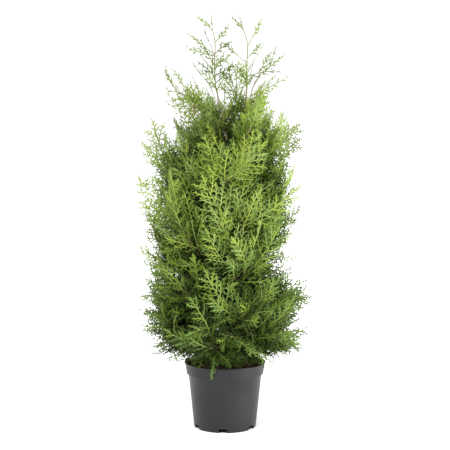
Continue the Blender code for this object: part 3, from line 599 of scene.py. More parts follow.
class Space:
    """Keeps each mass nearer its own stem than any other's, inside the crown's reach, off the limbs."""

    def __init__(self, plan, limbs):
        self.stems = [segments(mass["stem"]) for mass in plan]
        self.owners = np.concatenate([np.full(len(s[0]), k) for k, s in enumerate(self.stems)])
        self.all_stems = tuple(np.concatenate(part) for part in zip(*self.stems))
        self.all_limbs = tuple(np.concatenate(part) for part in zip(*(segments(limb) for limb in limbs)))
        self.centres = np.zeros((0, 3))

    def fits(self, index, points):
        """Which of the points lie in that mass's space."""
        azimuths = np.arctan2(points[:, 1], points[:, 0])
        radii = np.hypot(points[:, 0], points[:, 1])
        inside = (radii <= reach(azimuths, points[:, 2])) & (points[:, 2] <= CROWN_TOP)
        inside &= ~((points[:, 2] < POT_HEIGHT + LIMB_MARGIN) & (radii < LIP_RADIUS + LIMB_MARGIN))
        inside &= np.min(gaps_to(points, self.all_limbs) - self.all_limbs[2], axis=1) >= LIMB_MARGIN
        gaps = gaps_to(points, self.all_stems)
        own = np.min(gaps[:, self.owners == index], axis=1)
        other = np.min(gaps[:, self.owners != index], axis=1)
        return inside & (other > own + 2 * SPACE_MARGIN)

    def open_at(self, points, bud):
        """Which of the points are free for finer growth: in reach, under the ceiling, off the pot."""
        azimuths = np.arctan2(points[:, 1], points[:, 0])
        radii, heights = np.hypot(points[:, 0], points[:, 1]), points[:, 2]
        floor = np.where(radii < POT_INSIDE, SOIL_CROWN + OVER_SOIL, POT_HEIGHT + OVER_LIP)
        floor = np.where(radii > LIP_RADIUS + BESIDE_LIP, POT_HEIGHT + BESIDE_LIP_HEIGHT, floor)
        in_view = (points[:, 0] > SOIL_VIEW[0]) & (points[:, 0] < SOIL_VIEW[1])
        over_lip = POT_HEIGHT + SOIL_GAP + SOIL_SLOPE * np.maximum(0.0, -points[:, 1] - LIP_RADIUS)
        floor = np.where((points[:, 1] < SOIL_FRONT) & in_view, np.maximum(floor, over_lip), floor)
        free = (radii <= bud.reach_share * reach(azimuths, heights, bud.profiles)) & (heights <= bud.ceiling)
        for left, right, low, high, back in WINDOWS:
            across = (points[:, 0] > left) & (points[:, 0] < right) & (points[:, 1] < back)
            free &= ~(across & (heights > low) & (heights < high))
        return free & (heights >= floor)

    def holds(self, index, points):
        return bool(np.all(self.fits(index, points)))

    def room(self, centres):
        """Distance from each centre to the nearest spray so far."""
        if not len(self.centres):
            return np.ones(len(centres))
        return np.min(np.linalg.norm(centres[:, None] - self.centres[None], axis=2), axis=1).clip(max=1.0)

    def take(self, centre):
        self.centres = np.concatenate([self.centres, np.array(centre, float).reshape(1, 3)])


def segments(limb):
    """A limb as arrays: where its segments start, how they run, and their thicker ends' radii."""
    line = np.array([tuple(p) for p in limb["line"]])
    return line[:-1], line[1:] - line[:-1], np.array(limb["radii"][:-1])


def gaps_to(points, limb):
    """Each point's distance to each segment's axis."""
    starts, runs, _ = limb
    offsets = points[:, None, :] - starts[None]
    shares = np.clip(np.sum(offsets * runs, axis=2) / np.sum(runs * runs, axis=1), 0.0, 1.0)
    return np.linalg.norm(offsets - shares[:, :, None] * runs, axis=2)


# ---------------------------------------------------------------- growth by the solids' rule


def spray_points():
    right = [(u + SPRAY_STAGGER, -v) for u, v in SPRAY_OUTLINE]
    left = [(u - SPRAY_STAGGER, v) for u, v in reversed(SPRAY_OUTLINE)]
    return [(0.0, 0.0), *right, (1.0, 0.0), *left]


def sample_points():
    corners = np.array(spray_points())
    after = np.roll(corners, -1, axis=0)
    outline = np.concatenate([corners + (after - corners) * share for share in (0.0, 0.33, 0.67)])
    hub = np.array([SPRAY_HUB, 0.0])
    return np.concatenate([hub + share * (outline - hub) for share in (1.0, 0.7, 0.4)])


SAMPLES = sample_points()


def make_spray(root, direction, length, normal, slim=1.0):
    turned = frame_along(direction, normal)
    return {
        "root": root,
        "length": length,
        "slim": slim,
        "face": turned.col[0].copy(),
        "across": turned.col[1].copy(),
        "forward": turned.col[2].copy(),
    }


def on_spray(spray, u, v):
    """The blade's point at (u, v) of its outline."""
    place = spray["forward"] * u + spray["across"] * v * spray["slim"] - spray["face"] * SPRAY_SAG * u**2
    return spray["root"] + place * spray["length"]


def points_over(spray):
    u, v = SAMPLES[:, :1], SAMPLES[:, 1:]
    sag = SPRAY_SAG * u**2
    forward, across, face = (np.array(spray[key]) for key in ("forward", "across", "face"))
    flat = forward * u + across * v * spray["slim"] - face * sag
    return np.array(spray["root"]) + flat * spray["length"]


def spray_fits(space, index, mass, spray):
    points = points_over(spray)
    if not space.holds(index, points):
        return False
    free = points[SAMPLES[:, 0] > FREE_SHARE]
    return all(
        np.min(np.linalg.norm(free[:, None] - points_over(other)[None], axis=2)) > SPRAY_SPACING
        for other in mass["sprays"]
    )


def twig_fits(space, index, start, end):
    shares = np.linspace(0.1, 1.0, 24)[:, None]
    points = np.array(start) * (1 - shares) + np.array(end) * shares
    return space.holds(index, points)


def room_for(space, spray):
    return float(space.room(np.array([tuple(on_spray(spray, 0.5, 0.0))]))[0])


def facing(direction, azimuth, roll):
    """A spray's face: outwards and a little up, rolled about its own axis."""
    outward = polar(1.0, azimuth, 0.25)
    base = (outward - direction * outward.dot(direction)).normalized()
    return Matrix.Rotation(roll, 3, direction) @ base


def facing_front(direction, roll):
    return Matrix.Rotation(roll, 3, direction) @ FRONT


def grow_twig(space, index, mass, root, heading, habit, rng):
    """The twig and its end spray that fit and stand in the emptiest of some seeded places, or None."""
    best, most = None, 0.0
    for attempt in range(2 * CANDIDATES):
        shrink = 1.0 if attempt < CANDIDATES else 0.6
        azimuth = math.atan2(root.y, root.x)
        outward = polar(1.0, azimuth, 0.0)
        side = polar(rng.uniform(-habit["spread"], habit["spread"]), azimuth + math.pi / 2, 0.0)
        lift = habit["rise"] + rng.uniform(-0.7, 0.7)
        direction = (heading * 0.3 + outward * rng.uniform(0.2, 0.9) + side + lift * UP).normalized()
        reach_out = rng.uniform(0.25, 0.8) * habit["spray"] * shrink
        onward = (direction * 0.7 + outward * 0.35 + habit["rise"] * 0.6 * UP).normalized()
        length = habit["spray"] * rng.uniform(0.9, 1.1) * shrink
        roll = rng.uniform(-0.9, 0.9)
        if best is not None and attempt >= CANDIDATES:
            break
        end = root + direction * reach_out
        face = facing(onward, azimuth, roll)
        spray = make_spray(end - direction * ROOTING, onward, length, face, habit["slim"])
        space_left = room_for(space, spray)
        if space_left > most and twig_fits(space, index, root, end) and spray_fits(space, index, mass, spray):
            best, most = (root, end, spray), space_left
    if best is not None:
        mass["twigs"].append(best[:2])
        add_spray(space, mass, best[2])
    return best


def add_spray(space, mass, spray):
    mass["sprays"].append(spray)
    space.take(on_spray(spray, 0.5, 0.0))


def grow_side_spray(space, index, mass, twig, habit, rng):
    """A spray from the middle of a twig, on whichever side has more room."""
    start, end = twig
    direction = (end - start).normalized()
    root = start.lerp(end, 0.5)
    azimuth = math.atan2(root.y, root.x)
    best, most = None, 0.0
    for _ in range(CANDIDATES):
        across = Matrix.Rotation(rng.uniform(-math.pi, math.pi), 3, direction) @ direction.orthogonal()
        onward = (direction * 0.4 + across.normalized() * 0.9 + UP * habit["rise"] * 0.4).normalized()
        normal = facing(onward, azimuth, rng.uniform(-0.9, 0.9))
        length = habit["spray"] * rng.uniform(0.75, 0.95)
        spray = make_spray(root - onward * SIDE_ROOTING, onward, length, normal, habit["slim"])
        space_left = room_for(space, spray)
        if space_left > most and spray_fits(space, index, mass, spray):
            best, most = spray, space_left
    if best is not None:
        add_spray(space, mass, best)


def grow_tip(space, index, mass, habit, rng):
    """The spray that carries the stem's end on, shortened until it fits."""
    end, heading = along(mass["stem"]["line"], 1.0)
    azimuth = math.atan2(end.y, end.x)
    onward = (heading + habit["rise"] * 0.5 * UP).normalized()
    for share in np.linspace(1.2, 0.4, 17).tolist():
        face = facing(onward, azimuth, rng.uniform(-0.7, 0.7))
        spray = make_spray(end - heading * ROOTING, onward, habit["spray"] * share, face, habit["slim"])
        if spray_fits(space, index, mass, spray):
            add_spray(space, mass, spray)
            return


def grow_mass(space, index, mass, rng):
    """Twigs up the stem, each with a spray at its end and one on its side."""
    tier = mass["tier"]
    habit = {"spray": tier.spray, "rise": tier.rise, "slim": 1.0, "spread": 1.3}
    mass["twigs"], mass["sprays"] = [], []
    if tier.core:
        for _ in range(CORE_DRAWS):
            rng.random()
    grow_tip(space, index, mass, habit, rng)
    for k in range(tier.twigs):
        root, heading = along(mass["stem"]["line"], 0.12 + 0.74 * k / (tier.twigs - 1))
        grown = grow_twig(space, index, mass, root, heading, habit, rng)
        if grown is not None:
            grow_side_spray(space, index, mass, grown[:2], habit, rng)
    if mass["name"] == DROOP_MASS:
        add_droop(mass)


def add_droop(mass):
    """The spray that hangs over the lip, on its own twig from the stem."""
    root = along(mass["stem"]["line"], 0.45)[0]
    mass["twigs"].append((root, DROOP_KNEE))
    down = (DROOP_TIP - DROOP_KNEE).normalized()
    start = DROOP_KNEE + (root - DROOP_KNEE).normalized() * ROOTING
    spray = make_spray(start, down, (DROOP_TIP - start).length, FRONT, 0.9)
    spray.update(kind="broad", bias=0.08)
    mass["sprays"].append(spray)


def grow_shoot(space, index, mass, rng):
    """An open shoot: twigs that reach for the set tips, then seeded ones, all in narrow sprays."""
    shoot = mass["shoot"]
    habit = {"spray": SHOOT_SPRAY, "rise": SHOOT_RISE, "slim": SLIM, "spread": 1.0}
    mass["twigs"], mass["sprays"] = [], []
    grow_tip(space, index, mass, habit, rng)
    for k, tip in enumerate(shoot.tips):
        root = along(mass["stem"]["line"], 0.95 - 0.65 * k / len(shoot.tips))[0]
        tip = Vector(tip)
        onward = (tip - root).normalized()
        bare = (tip - root).length - SHOOT_SPRAY
        start = root + onward * bare if bare > 2 * ROOTING else root
        face = facing_front(onward, rng.uniform(-0.6, 0.6))
        spray = make_spray(start, onward, (tip - start).length, face, SLIM)
        if start is not root:
            mass["twigs"].append((root, start + onward * ROOTING))
        add_spray(space, mass, spray)
    for k in range(shoot.twigs):
        root, heading = along(mass["stem"]["line"], 0.14 + 0.66 * k / shoot.twigs)
        grow_twig(space, index, mass, root, heading, habit, rng)


# ---------------------------------------------------------------- finer growth, by the same rule


def unit(vectors):
    return vectors / np.linalg.norm(vectors, axis=-1, keepdims=True)


class Bud:
    """A place on a limb or twig where finer growth starts, with its seeded choices of direction."""

    def __init__(self, mass, root, heading, spray, lengths, rng, spin=0.35):
        self.mass, self.root, self.heading = mass, np.array(root), np.array(heading)
        self.spray, self.lengths, self.spin = spray, lengths, spin
        self.profiles, self.reach_share = BODY, rng.uniform(*FINE_REACH)
        self.ceiling = FINE_CEILING[0] + FINE_CEILING[1] * rng.uniform() ** 2
        self.rise = float(profile_at(CROWN_RISE, self.root[2]))
        self.roots = np.repeat(self.root[None], FINE_CANDIDATES, axis=0)

    def azimuths(self, rng):
        """(outwards, sideways) for each candidate, about the way from the crown's axis."""
        turns = rng.uniform(-self.spin, self.spin, FINE_CANDIDATES)
        angles = math.atan2(self.root[1], self.root[0]) + turns
        level = np.zeros(FINE_CANDIDATES)
        outward = np.stack([np.cos(angles), np.sin(angles), level], axis=1)
        return outward, np.stack([-np.sin(angles), np.cos(angles), level], axis=1)

    def directions(self, rng, outward, side, outwards, sideways, upwards):
        """A mix of the bud's own heading and ways outwards, sideways and up, each within its range."""
        column = (FINE_CANDIDATES, 1)
        return unit(
            self.heading * 0.2
            + outward * rng.uniform(*outwards, column)
            + side * rng.uniform(-sideways, sideways, column)
            + UP_ROW * (self.rise + rng.uniform(*upwards, column))
        )

    def sizes(self, rng):
        return self.spray * rng.uniform(*self.lengths, FINE_CANDIDATES)


def rolled_faces(onward, outward, rolls):
    """The faces and acrosses of sprays along onward, turned outwards and rolled."""
    ahead = outward + np.array([0.0, 0.0, 0.25])
    base = unit(ahead - onward * np.sum(onward * ahead, axis=1, keepdims=True))
    face = base * np.cos(rolls)[:, None] + np.cross(onward, base) * np.sin(rolls)[:, None]
    return face, np.cross(onward, face)


def pick_spray(space, starts, ends, onward, outward, lengths, bud, rng, roll=1.1):
    """The candidate that fits, in the emptiest place nearest the crown's surface, as a spray, or None."""
    count = len(ends)
    face, across = rolled_faces(onward, outward, rng.uniform(-roll, roll, count))
    u, v = FINE_SAMPLES[:, :1], FINE_SAMPLES[:, 1:]
    flat = onward[:, None] * u + across[:, None] * v - face[:, None] * (SPRAY_SAG * u**2)
    points = ends[:, None] + flat * lengths[:, None, None]
    shares = np.array([0.35, 0.7, 1.0])[None, :, None]
    twigs = starts[:, None] * (1 - shares) + ends[:, None] * shares
    tested = np.concatenate([twigs, points], axis=1)
    fits = space.open_at(tested.reshape(-1, 3), bud).reshape(count, -1).all(axis=1)
    if not fits.any():
        return None
    centres, tips = points[:, 1:3].mean(axis=1), points[:, -1]
    most = reach(np.arctan2(tips[:, 1], tips[:, 0]), tips[:, 2], bud.profiles)
    outwardness = np.hypot(tips[:, 0], tips[:, 1]) / most
    score = np.where(fits, space.room(centres) * (0.4 + 0.6 * outwardness.clip(0, 1)), -1.0)
    best = int(np.argmax(score))
    space.take(centres[best])
    return {
        "root": ends[best], "start": starts[best], "twig": bool(np.any(starts[best] != ends[best])),
        "forward": onward[best], "across": across[best], "face": face[best],
        "length": lengths[best], "slim": 1.0,
    }


def fine_twig(space, bud, rng):
    """A finer twig's end spray, which remembers where the twig starts, or None."""
    outward, side = bud.azimuths(rng)
    direction = bud.directions(rng, outward, side, (0.0, 0.9), 1.2, (-0.8, 0.9))
    column = (FINE_CANDIDATES, 1)
    ends = bud.root + direction * (rng.uniform(0.08, 0.95, column) * bud.spray)
    leaning = side * rng.uniform(-0.45, 0.45, column)
    onward = unit(direction * 0.45 + outward * 0.45 + UP_ROW * bud.rise * 0.7 + leaning)
    return pick_spray(space, bud.roots, ends, onward, outward, bud.sizes(rng), bud, rng)


def fine_side(space, bud, rng):
    """A spray straight off the side of a twig, or None."""
    outward, _ = bud.azimuths(rng)
    turn = rng.uniform(-math.pi, math.pi, FINE_CANDIDATES)
    first = unit(np.cross(bud.heading, [0.0, 0.3, 1.0]))
    across = first * np.cos(turn)[:, None] + np.cross(bud.heading, first) * np.sin(turn)[:, None]
    onward = unit(bud.heading * 0.5 + across * 0.8 + outward * 0.35 + UP_ROW * bud.rise * 0.6)
    return pick_spray(space, bud.roots, bud.roots, onward, outward, bud.sizes(rng), bud, rng)


def limb_buds(mass, limb, shares, spin, rng):
    places = [along(limb["line"], share) for share in shares]
    return [Bud(mass, root, heading, FINE_LENGTH * 0.9, (0.5, 0.9), rng, spin) for root, heading in places]


def fine_buds(limbs, plan, rng):
    """Every place where finer growth starts: on stems, twigs, boughs, trunk and second leader."""
    buds = []
    for mass in plan:
        if "shoot" in mass:
            continue
        size = mass["tier"].spray
        shares = np.linspace(0.01, 0.98, FINE_STEM_TWIGS) ** FINE_STEM_BUNCHING
        places = [along(mass["stem"]["line"], share) for share in shares.tolist()]
        for start, end in mass["twigs"]:
            heading = (end - start).normalized()
            places += [(start.lerp(end, share), heading) for share in FINE_TWIG_SHARES]
        buds += [Bud(mass, root, heading, size, (0.55, 0.95), rng) for root, heading in places]
        if "bough" in mass:
            buds += limb_buds(mass, mass["bough"], FINE_BOUGH_SHARES, 1.2, rng)
    for name, gap in (("trunk", FINE_TRUNK_GAP), ("second_leader", FINE_LEADER_GAP)):
        line = limbs[name]["line"]
        count = int((line[-1] - line[0]).length / gap)
        buds += limb_buds(plan[-1], limbs[name], np.linspace(0.03, 0.96, count).tolist(), math.pi, rng)
    return buds


def grow_finer(space, limbs, plan):
    """Twigs and sprays between the solids' ones, one bud at a time all over the crown."""
    rng = np.random.default_rng(FINE_SEED)
    for mass in plan:
        mass["fine_sprays"], mass["fans"] = [], []
    add_top_branches(space, plan, rng)
    add_sprigs(plan, rng)
    grow_fans(space, plan, rng)
    add_hem(space, limbs["trunk"], plan[-1], rng)
    buds = fine_buds(limbs, plan, rng)
    for number in rng.permutation(len(buds)):
        bud = buds[number]
        spray = fine_twig(space, bud, rng)
        if spray is None:
            continue
        bud.mass["fine_sprays"].append(spray)
        run = spray["root"] - spray["start"]
        middle = spray["start"] + run * 0.55
        side_bud = Bud(bud.mass, middle, unit(run), bud.spray, bud.lengths, rng, bud.spin)
        side = fine_side(space, side_bud, rng)
        if side is not None:
            bud.mass["fine_sprays"].append(side)


def grow_fans(space, plan, rng):
    """Fans over the crown's surface, from the outer part of each dense mass's stem."""
    for share in np.linspace(0.30, 1.0, FANS).tolist():
        for mass in plan:
            if "shoot" in mass:
                continue
            root, heading = along(mass["stem"]["line"], share)
            fan = pick_fan(space, mass, root, heading, rng)
            if fan is not None:
                dress_fan(mass, fan, rng)


def pick_fan(space, mass, root, heading, rng):
    bud = Bud(mass, root, heading, 1.0, FAN_LENGTHS, rng, 0.5)
    bud.profiles, bud.reach_share = WISPS, 1.0
    outward, side = bud.azimuths(rng)
    onward = bud.directions(rng, outward, side, (0.2, 0.9), 1.1, (-0.3, 0.6))
    return pick_spray(space, bud.roots, bud.roots, onward, outward, bud.sizes(rng), bud, rng, 0.7)


def dress_fan(mass, fan, rng):
    """The fan's own twig and its small sprays, alternately down its sides and one at its tip."""
    forward, across, face, length = fan["forward"], fan["across"], fan["face"], fan["length"]
    bend, bias = rng.uniform(-0.09, 0.09), rng.uniform(-0.08, 0.12)
    spread = rng.uniform(*FAN_SPREAD)

    def at(u):
        bent = across * bend * math.sin(math.pi * u)
        return fan["root"] + length * (forward * u + bent - face * SPRAY_SAG * u**2)

    mass["fans"].append([at(u) for u in (0.0, 0.2, 0.4, 0.6, 0.8, 0.96)])
    for k in range(FAN_SIDES + 1):
        u = 0.14 + 0.80 * k / FAN_SIDES
        tangent = unit(at(u + 0.02) - at(u - 0.02))
        hand = 1 if k % 2 else -1
        angle = math.radians(56 - 24 * u + rng.uniform(-8, 8)) if k < FAN_SIDES else 0.0
        way = tangent * math.cos(angle) + across * hand * math.sin(angle) + face * rng.uniform(-0.14, 0.10)
        size = length * spread * min(1.0, 0.5 + 2.2 * u) * (1.05 - 0.62 * u) * rng.uniform(0.8, 1.15)
        tilted = face + across * rng.uniform(-0.3, 0.3) + tangent * rng.uniform(-0.2, 0.2)
        spray = make_spray(Vector(at(u)), Vector(way), size, Vector(tilted))
        spray.update(twig=False, kind="small", bias=bias + rng.uniform(-0.06, 0.06))
        mass["fine_sprays"].append(spray)


def add_sprigs(plan, rng):
    """Slender open sprays that stand up from the outer part of the highest dense masses."""
    for mass in plan:
        if not mass["name"].startswith(SPRIG_MASSES):
            continue
        for k in range(SPRIGS):
            root, heading = along(mass["stem"]["line"], 0.55 + 0.45 * k / (SPRIGS - 1))
            onward = UP * 0.9 + heading * rng.uniform(0.2, 1.1) + Vector(rng.uniform(-0.35, 0.35, 3).tolist())
            onward = onward.normalized()
            face = facing_front(onward, rng.uniform(-0.8, 0.8))
            length = min(rng.uniform(*SPRIG_LENGTHS), (SPRIG_CEILING - root.z) / onward.z)
            spray = make_spray(root, onward, length, face)
            spray.update(twig=False, kind="open")
            mass["fine_sprays"].append(spray)


def add_hem(space, trunk, mass, rng):
    """Low sprays that droop from the trunk's foot over the growing medium, and outside the pot's lip."""
    for k in range(HEM_SPRAYS):
        azimuth = GOLDEN_ANGLE * k
        start = at_height(trunk["line"], rng.uniform(0.190, 0.225))
        ring = min(k % 5, len(HEM_RADII) - 1)
        height, radius = rng.uniform(*HEM_HEIGHTS[ring]), rng.uniform(*HEM_RADII[ring])
        if ring == len(HEM_RADII) - 1:
            radius *= float(reach(azimuth, height, BODY))
        tip = polar(radius, azimuth + rng.uniform(-0.4, 0.4), height)
        if tip.y < SOIL_FRONT and SOIL_VIEW[0] < tip.x < SOIL_VIEW[1]:
            height = max(height, POT_HEIGHT + SOIL_GAP + SOIL_SLOPE * max(0.0, -tip.y - LIP_RADIUS))
            tip.z = height
        root = polar(radius * rng.uniform(0.35, 0.6), azimuth, height + rng.uniform(0.012, 0.030))
        onward = (tip - root).normalized()
        normal = Matrix.Rotation(rng.uniform(-0.5, 0.5), 3, onward) @ UP
        spray = make_spray(root, onward, max(0.060, (tip - root).length), normal)
        spray.update(twig=True, start=start, kind="broad", bias=rng.uniform(-0.15, 0.60))
        mass["fine_sprays"].append(spray)
        space.take(on_spray(spray, 0.5, 0.0))


def add_top_branches(space, plan, rng):
    """The open branches of the top's shoots, each one long spray from the stem to its tip."""
    masses = {mass["name"]: mass for mass in plan}
    for name, height, tip in TOP_BRANCHES:
        root = at_height(masses[name]["stem"]["line"], height)
        onward = (Vector(tip) - root).normalized()
        face = facing_front(onward, rng.uniform(-0.7, 0.7))
        spray = make_spray(root, onward, (Vector(tip) - root).length, face)
        spray["twig"] = False
        masses[name]["fine_sprays"].append(spray)
        space.take(on_spray(spray, 0.5, 0.0))


@lru_cache(maxsize=1)
def plant():
    """(limbs by name, boughs by name, masses): every axis, twig and spray."""
    trunk = plan_trunk()
    limbs = {"trunk": trunk, "second_leader": plan_second_leader(trunk)}
    plan = plan_shoots(limbs) + plan_tiers(trunk)
    boughs = {f"bough_{mass['name']}": mass["bough"] for mass in plan if "bough" in mass}
    space = Space(plan, [*limbs.values(), *boughs.values()])
    for index, mass in enumerate(plan):
        grow = grow_shoot if "shoot" in mass else grow_mass
        grow(space, index, mass, random.Random(GROWTH_SEED + index))
    grow_finer(space, limbs, plan)
    return limbs, boughs, plan


# ---------------------------------------------------------------- one spray of scale leaves, as arrays


class SprayShape:
    """A spray's strands in its own frame: centres as shares of its length, offsets in metres, faces."""

    def __init__(self):
        self.centres, self.offsets, self.faces = [], [], []
        self.count = 0

    def strand(self, points, half_widths):
        """A closed flattened strand: a point, a ring of three at each inner point, and a point."""
        points = [np.array(p, float) for p in points]
        first = self.count
        self.add(points[0], (0.0, 0.0, 0.0))
        for k, half in enumerate(half_widths, start=1):
            d = unit(points[k + 1] - points[k - 1])
            side = np.cross((0.0, 0.0, 1.0), d)
            for offset in (side * half, (0.0, 0.0, FLATNESS * half), -side * half):
                self.add(points[k], offset)
        self.add(points[-1], (0.0, 0.0, 0.0))
        rings = [[first + 1 + 3 * r + i for i in range(3)] for r in range(len(half_widths))]
        last = self.count - 1
        for i in range(3):
            j = (i + 1) % 3
            self.faces.append((first, rings[0][j], rings[0][i]))
            self.faces.append((rings[-1][i], rings[-1][j], last))
            for low, high in zip(rings, rings[1:]):
                self.faces += [(low[i], low[j], high[j]), (low[i], high[j], high[i])]

    def add(self, centre, offset):
        self.centres.append(centre)
        self.offsets.append(offset)
        self.count += 1

    def arrays(self):
        return np.array(self.centres), np.array(self.offsets), np.array(self.faces)


def turned(direction, angle):
    c, s = math.cos(angle), math.sin(angle)
    return np.array([direction[0] * c - direction[1] * s, direction[0] * s + direction[1] * c, direction[2]])


# How each kind of spray branches: number of sides, where the first one starts, their spread, their angle
# in degrees, the gap between lobes, a lobe's length, half widths in metres of the axis, the sides and the
# lobes, and the length of a smaller branchlet. The lengths are shares of the whole spray's.
SprayStyle = namedtuple("SprayStyle", "sides first spread steep lobe_gap lobe widths subs")
NO_SUBS = 9.0  # longer than any side, so that none branches again
STYLES = {
    "full": SprayStyle(10, 0.08, 0.42, 52, 0.078, 0.088, (0.0016, 0.0013, 0.0014), 0.15),
    "broad": SprayStyle(9, 0.06, 0.42, 48, 0.100, 0.115, (0.0019, 0.0017, 0.0021), NO_SUBS),
    "small": SprayStyle(7, 0.12, 0.46, 52, 0.135, 0.140, (0.0015, 0.0014, 0.0011), NO_SUBS),
    "open": SprayStyle(7, 0.22, 0.38, 48, 0.105, 0.100, (0.0013, 0.00135, 0.00095), 0.12),
    # The inner shape carries the sprays deep in the crown, which all take the darkest tone as painted shade.
    "inner": SprayStyle(10, 0.10, 0.45, 50, 0.150, 0.130, (0.0020, 0.0028, 0.0034), NO_SUBS),
}
SHAPES_OF_A_KIND = 10
SHAPES_SEED = 77
BEND_SHARE = 0.60  # share of a side branchlet's length at which it bends forwards
OUTER_TIP = (0.60, 0.20)  # lobes past this share of the length or of the breadth are outer ones


class SprayGrower:
    """Branches one spray by a seeded rule into an inner, an outer and an axis shape."""

    def __init__(self, style, rng):
        self.style, self.rng = style, rng
        self.inner, self.outer, self.axis = SprayShape(), SprayShape(), SprayShape()
        self.bend = rng.uniform(-0.07, 0.07)
        self.curl = rng.uniform(-0.05, 0.05)

    def axis_at(self, u):
        return np.array([u, self.bend * math.sin(math.pi * u) + self.curl * u * u, 0.0])

    def grow(self):
        style, rng = self.style, self.rng
        wide = style.widths[0]
        places = [self.axis_at(u) for u in (0.0, 0.05, 0.34, 0.66, 0.90, 1.0)]
        self.axis.strand(places, [wide, wide, wide * 0.9, wide * 0.7])
        phase = int(rng.integers(0, 2))
        pitch = (0.95 - style.first) / (style.sides - 1)
        for k in range(style.sides):
            u = style.first + pitch * (k + rng.uniform(-0.3, 0.3))
            size = style.spread * min(1.0, 0.55 + 2.2 * u) * (1.02 - 0.82 * u) * rng.uniform(0.7, 1.25)
            hand = 1 if (k + phase) % 2 else -1
            angle = math.radians(style.steep - 16 * u + rng.uniform(-9, 9))
            self.side(self.axis_at(max(u, 0.03)), hand, angle, size)
        return self.inner.arrays(), self.outer.arrays(), self.axis.arrays()

    def side(self, start, hand, angle, length):
        """A side branchlet that curves forwards, with lobes and a few branchlets of its own."""
        style, rng = self.style, self.rng
        curve = math.radians(rng.uniform(10, 26))
        way = turned(np.array([1.0, 0.0, rng.uniform(-0.12, 0.12)]), hand * angle)
        onward = turned(way, -hand * curve)
        middle = start + way * length * BEND_SHARE
        end = middle + onward * length * (1 - BEND_SHARE)
        wide = style.widths[1]
        self.outer.strand([start, start + way * length * 0.12, middle, end], [wide, wide])
        count = int(length / style.lobe_gap)
        for n in range(count):
            share = (n + rng.uniform(0.7, 1.1)) / (count + 0.5)
            at, ahead = start + way * length * share, way
            if share >= BEND_SHARE:
                at, ahead = middle + onward * length * (share - BEND_SHARE), onward
            lobe_hand = 1 if (n + (hand > 0)) % 2 else -1
            size = style.lobe * (1.1 - 0.5 * share) * rng.uniform(0.7, 1.3)
            self.lobe(at, ahead, lobe_hand, size, length)

    def lobe(self, at, way, hand, size, parent):
        """A lobe, or where its branchlet is long now and then a smaller branchlet with lobes."""
        style, rng = self.style, self.rng
        wide = style.widths[2]
        out = turned(way, hand * math.radians(rng.uniform(38, 60)))
        out = out + np.array([0.0, 0.0, rng.uniform(-0.18, 0.18)])
        longer = parent > style.subs * 1.5 and rng.uniform() < 0.30
        size = style.subs * rng.uniform(0.8, 1.2) if longer else size
        tip = at + out * size
        shape = self.outer if tip[0] > OUTER_TIP[0] or abs(tip[1]) > OUTER_TIP[1] else self.inner
        if not longer:
            shape.strand([at, at + out * size * 0.55, tip], [wide])
            return
        bent = turned(out, -hand * 0.25)
        tip = at + out * size * 0.5 + bent * size * 0.5
        shape.strand([at, at + out * size * 0.2, at + out * size * 0.6, tip], [wide * 0.8, wide * 0.8])
        for share, side_hand in ((0.35, 1), (0.65, -1)):
            foot = at + out * size * share
            small = turned(out, side_hand * math.radians(38)) * size * 0.45
            shape.strand([foot, foot + small * 0.55, foot + small], [wide])


@lru_cache(maxsize=1)
def spray_shapes():
    rng = np.random.default_rng(SHAPES_SEED)
    numbers = range(SHAPES_OF_A_KIND)
    return {kind: [SprayGrower(style, rng).grow() for _ in numbers] for kind, style in STYLES.items()}


def place_shape(shape, sprays):
    """A spray shape set at each spray's place: (vertices, faces)."""
    centres, offsets, faces = shape
    root = np.array([tuple(s["root"]) for s in sprays])
    frames = np.array([[tuple(s["forward"]), tuple(s["across"]), tuple(s["face"])] for s in sprays])
    length = np.array([s["length"] for s in sprays])[:, None, None]
    slim = np.array([s["slim"] for s in sprays])[:, None]
    local = np.repeat(centres[None], len(sprays), axis=0)
    local[:, :, 1] *= slim
    local[:, :, 2] -= SPRAY_SAG * local[:, :, 0] ** 2
    local = local * length + offsets[None]
    placed = np.einsum("nvk,nkj->nvj", local, frames) + root[:, None]
    stride = len(centres)
    faces = faces[None] + (np.arange(len(sprays)) * stride)[:, None, None]
    return placed.reshape(-1, 3), faces.reshape(-1, 3)


# ---------------------------------------------------------------- meshes from arrays


def array_piece(name, parts, finish):
    """One closed-strand piece from (vertices, faces) parts."""
    shift, vertices, faces = 0, [], []
    for points, corners in parts:
        vertices.append(points)
        faces.append(corners + shift)
        shift += len(points)
    mesh = bpy.data.meshes.new(name)
    mesh.from_pydata(np.concatenate(vertices).astype(np.float32), [], np.concatenate(faces).astype(np.int32))
    mesh.materials.append(finish)
    obj = bpy.data.objects.new(name, mesh)
    bpy.context.scene.collection.objects.link(obj)
    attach(obj, "root")
    return obj


def tube(line, radii, sides):
    """A closed tapering tube along a line: (vertices, faces)."""
    line = [Vector(p) for p in line]
    hint, vertices = Vector((1.0, 0.0, 0.0)), []
    for point, radius, heading in zip(line, radii, headings_of(line)):
        turned = frame_along(heading, hint)
        hint, up = turned.col[0].copy(), turned.col[1].copy()
        for k in range(sides):
            turn = 2 * math.pi * k / sides
            vertices.append(point + (hint * math.cos(turn) + up * math.sin(turn)) * radius)
    count = len(line)
    vertices += [line[0], line[-1]]
    foot, tip = count * sides, count * sides + 1
    faces = []
    for k in range(sides):
        j = (k + 1) % sides
        faces.append((foot, j, k))
        faces.append(((count - 1) * sides + k, (count - 1) * sides + j, tip))
        for r in range(count - 1):
            a, b, c, d = r * sides + k, r * sides + j, (r + 1) * sides + j, (r + 1) * sides + k
            faces += [(a, b, c), (a, c, d)]
    return np.array([tuple(v) for v in vertices]), np.array(faces)


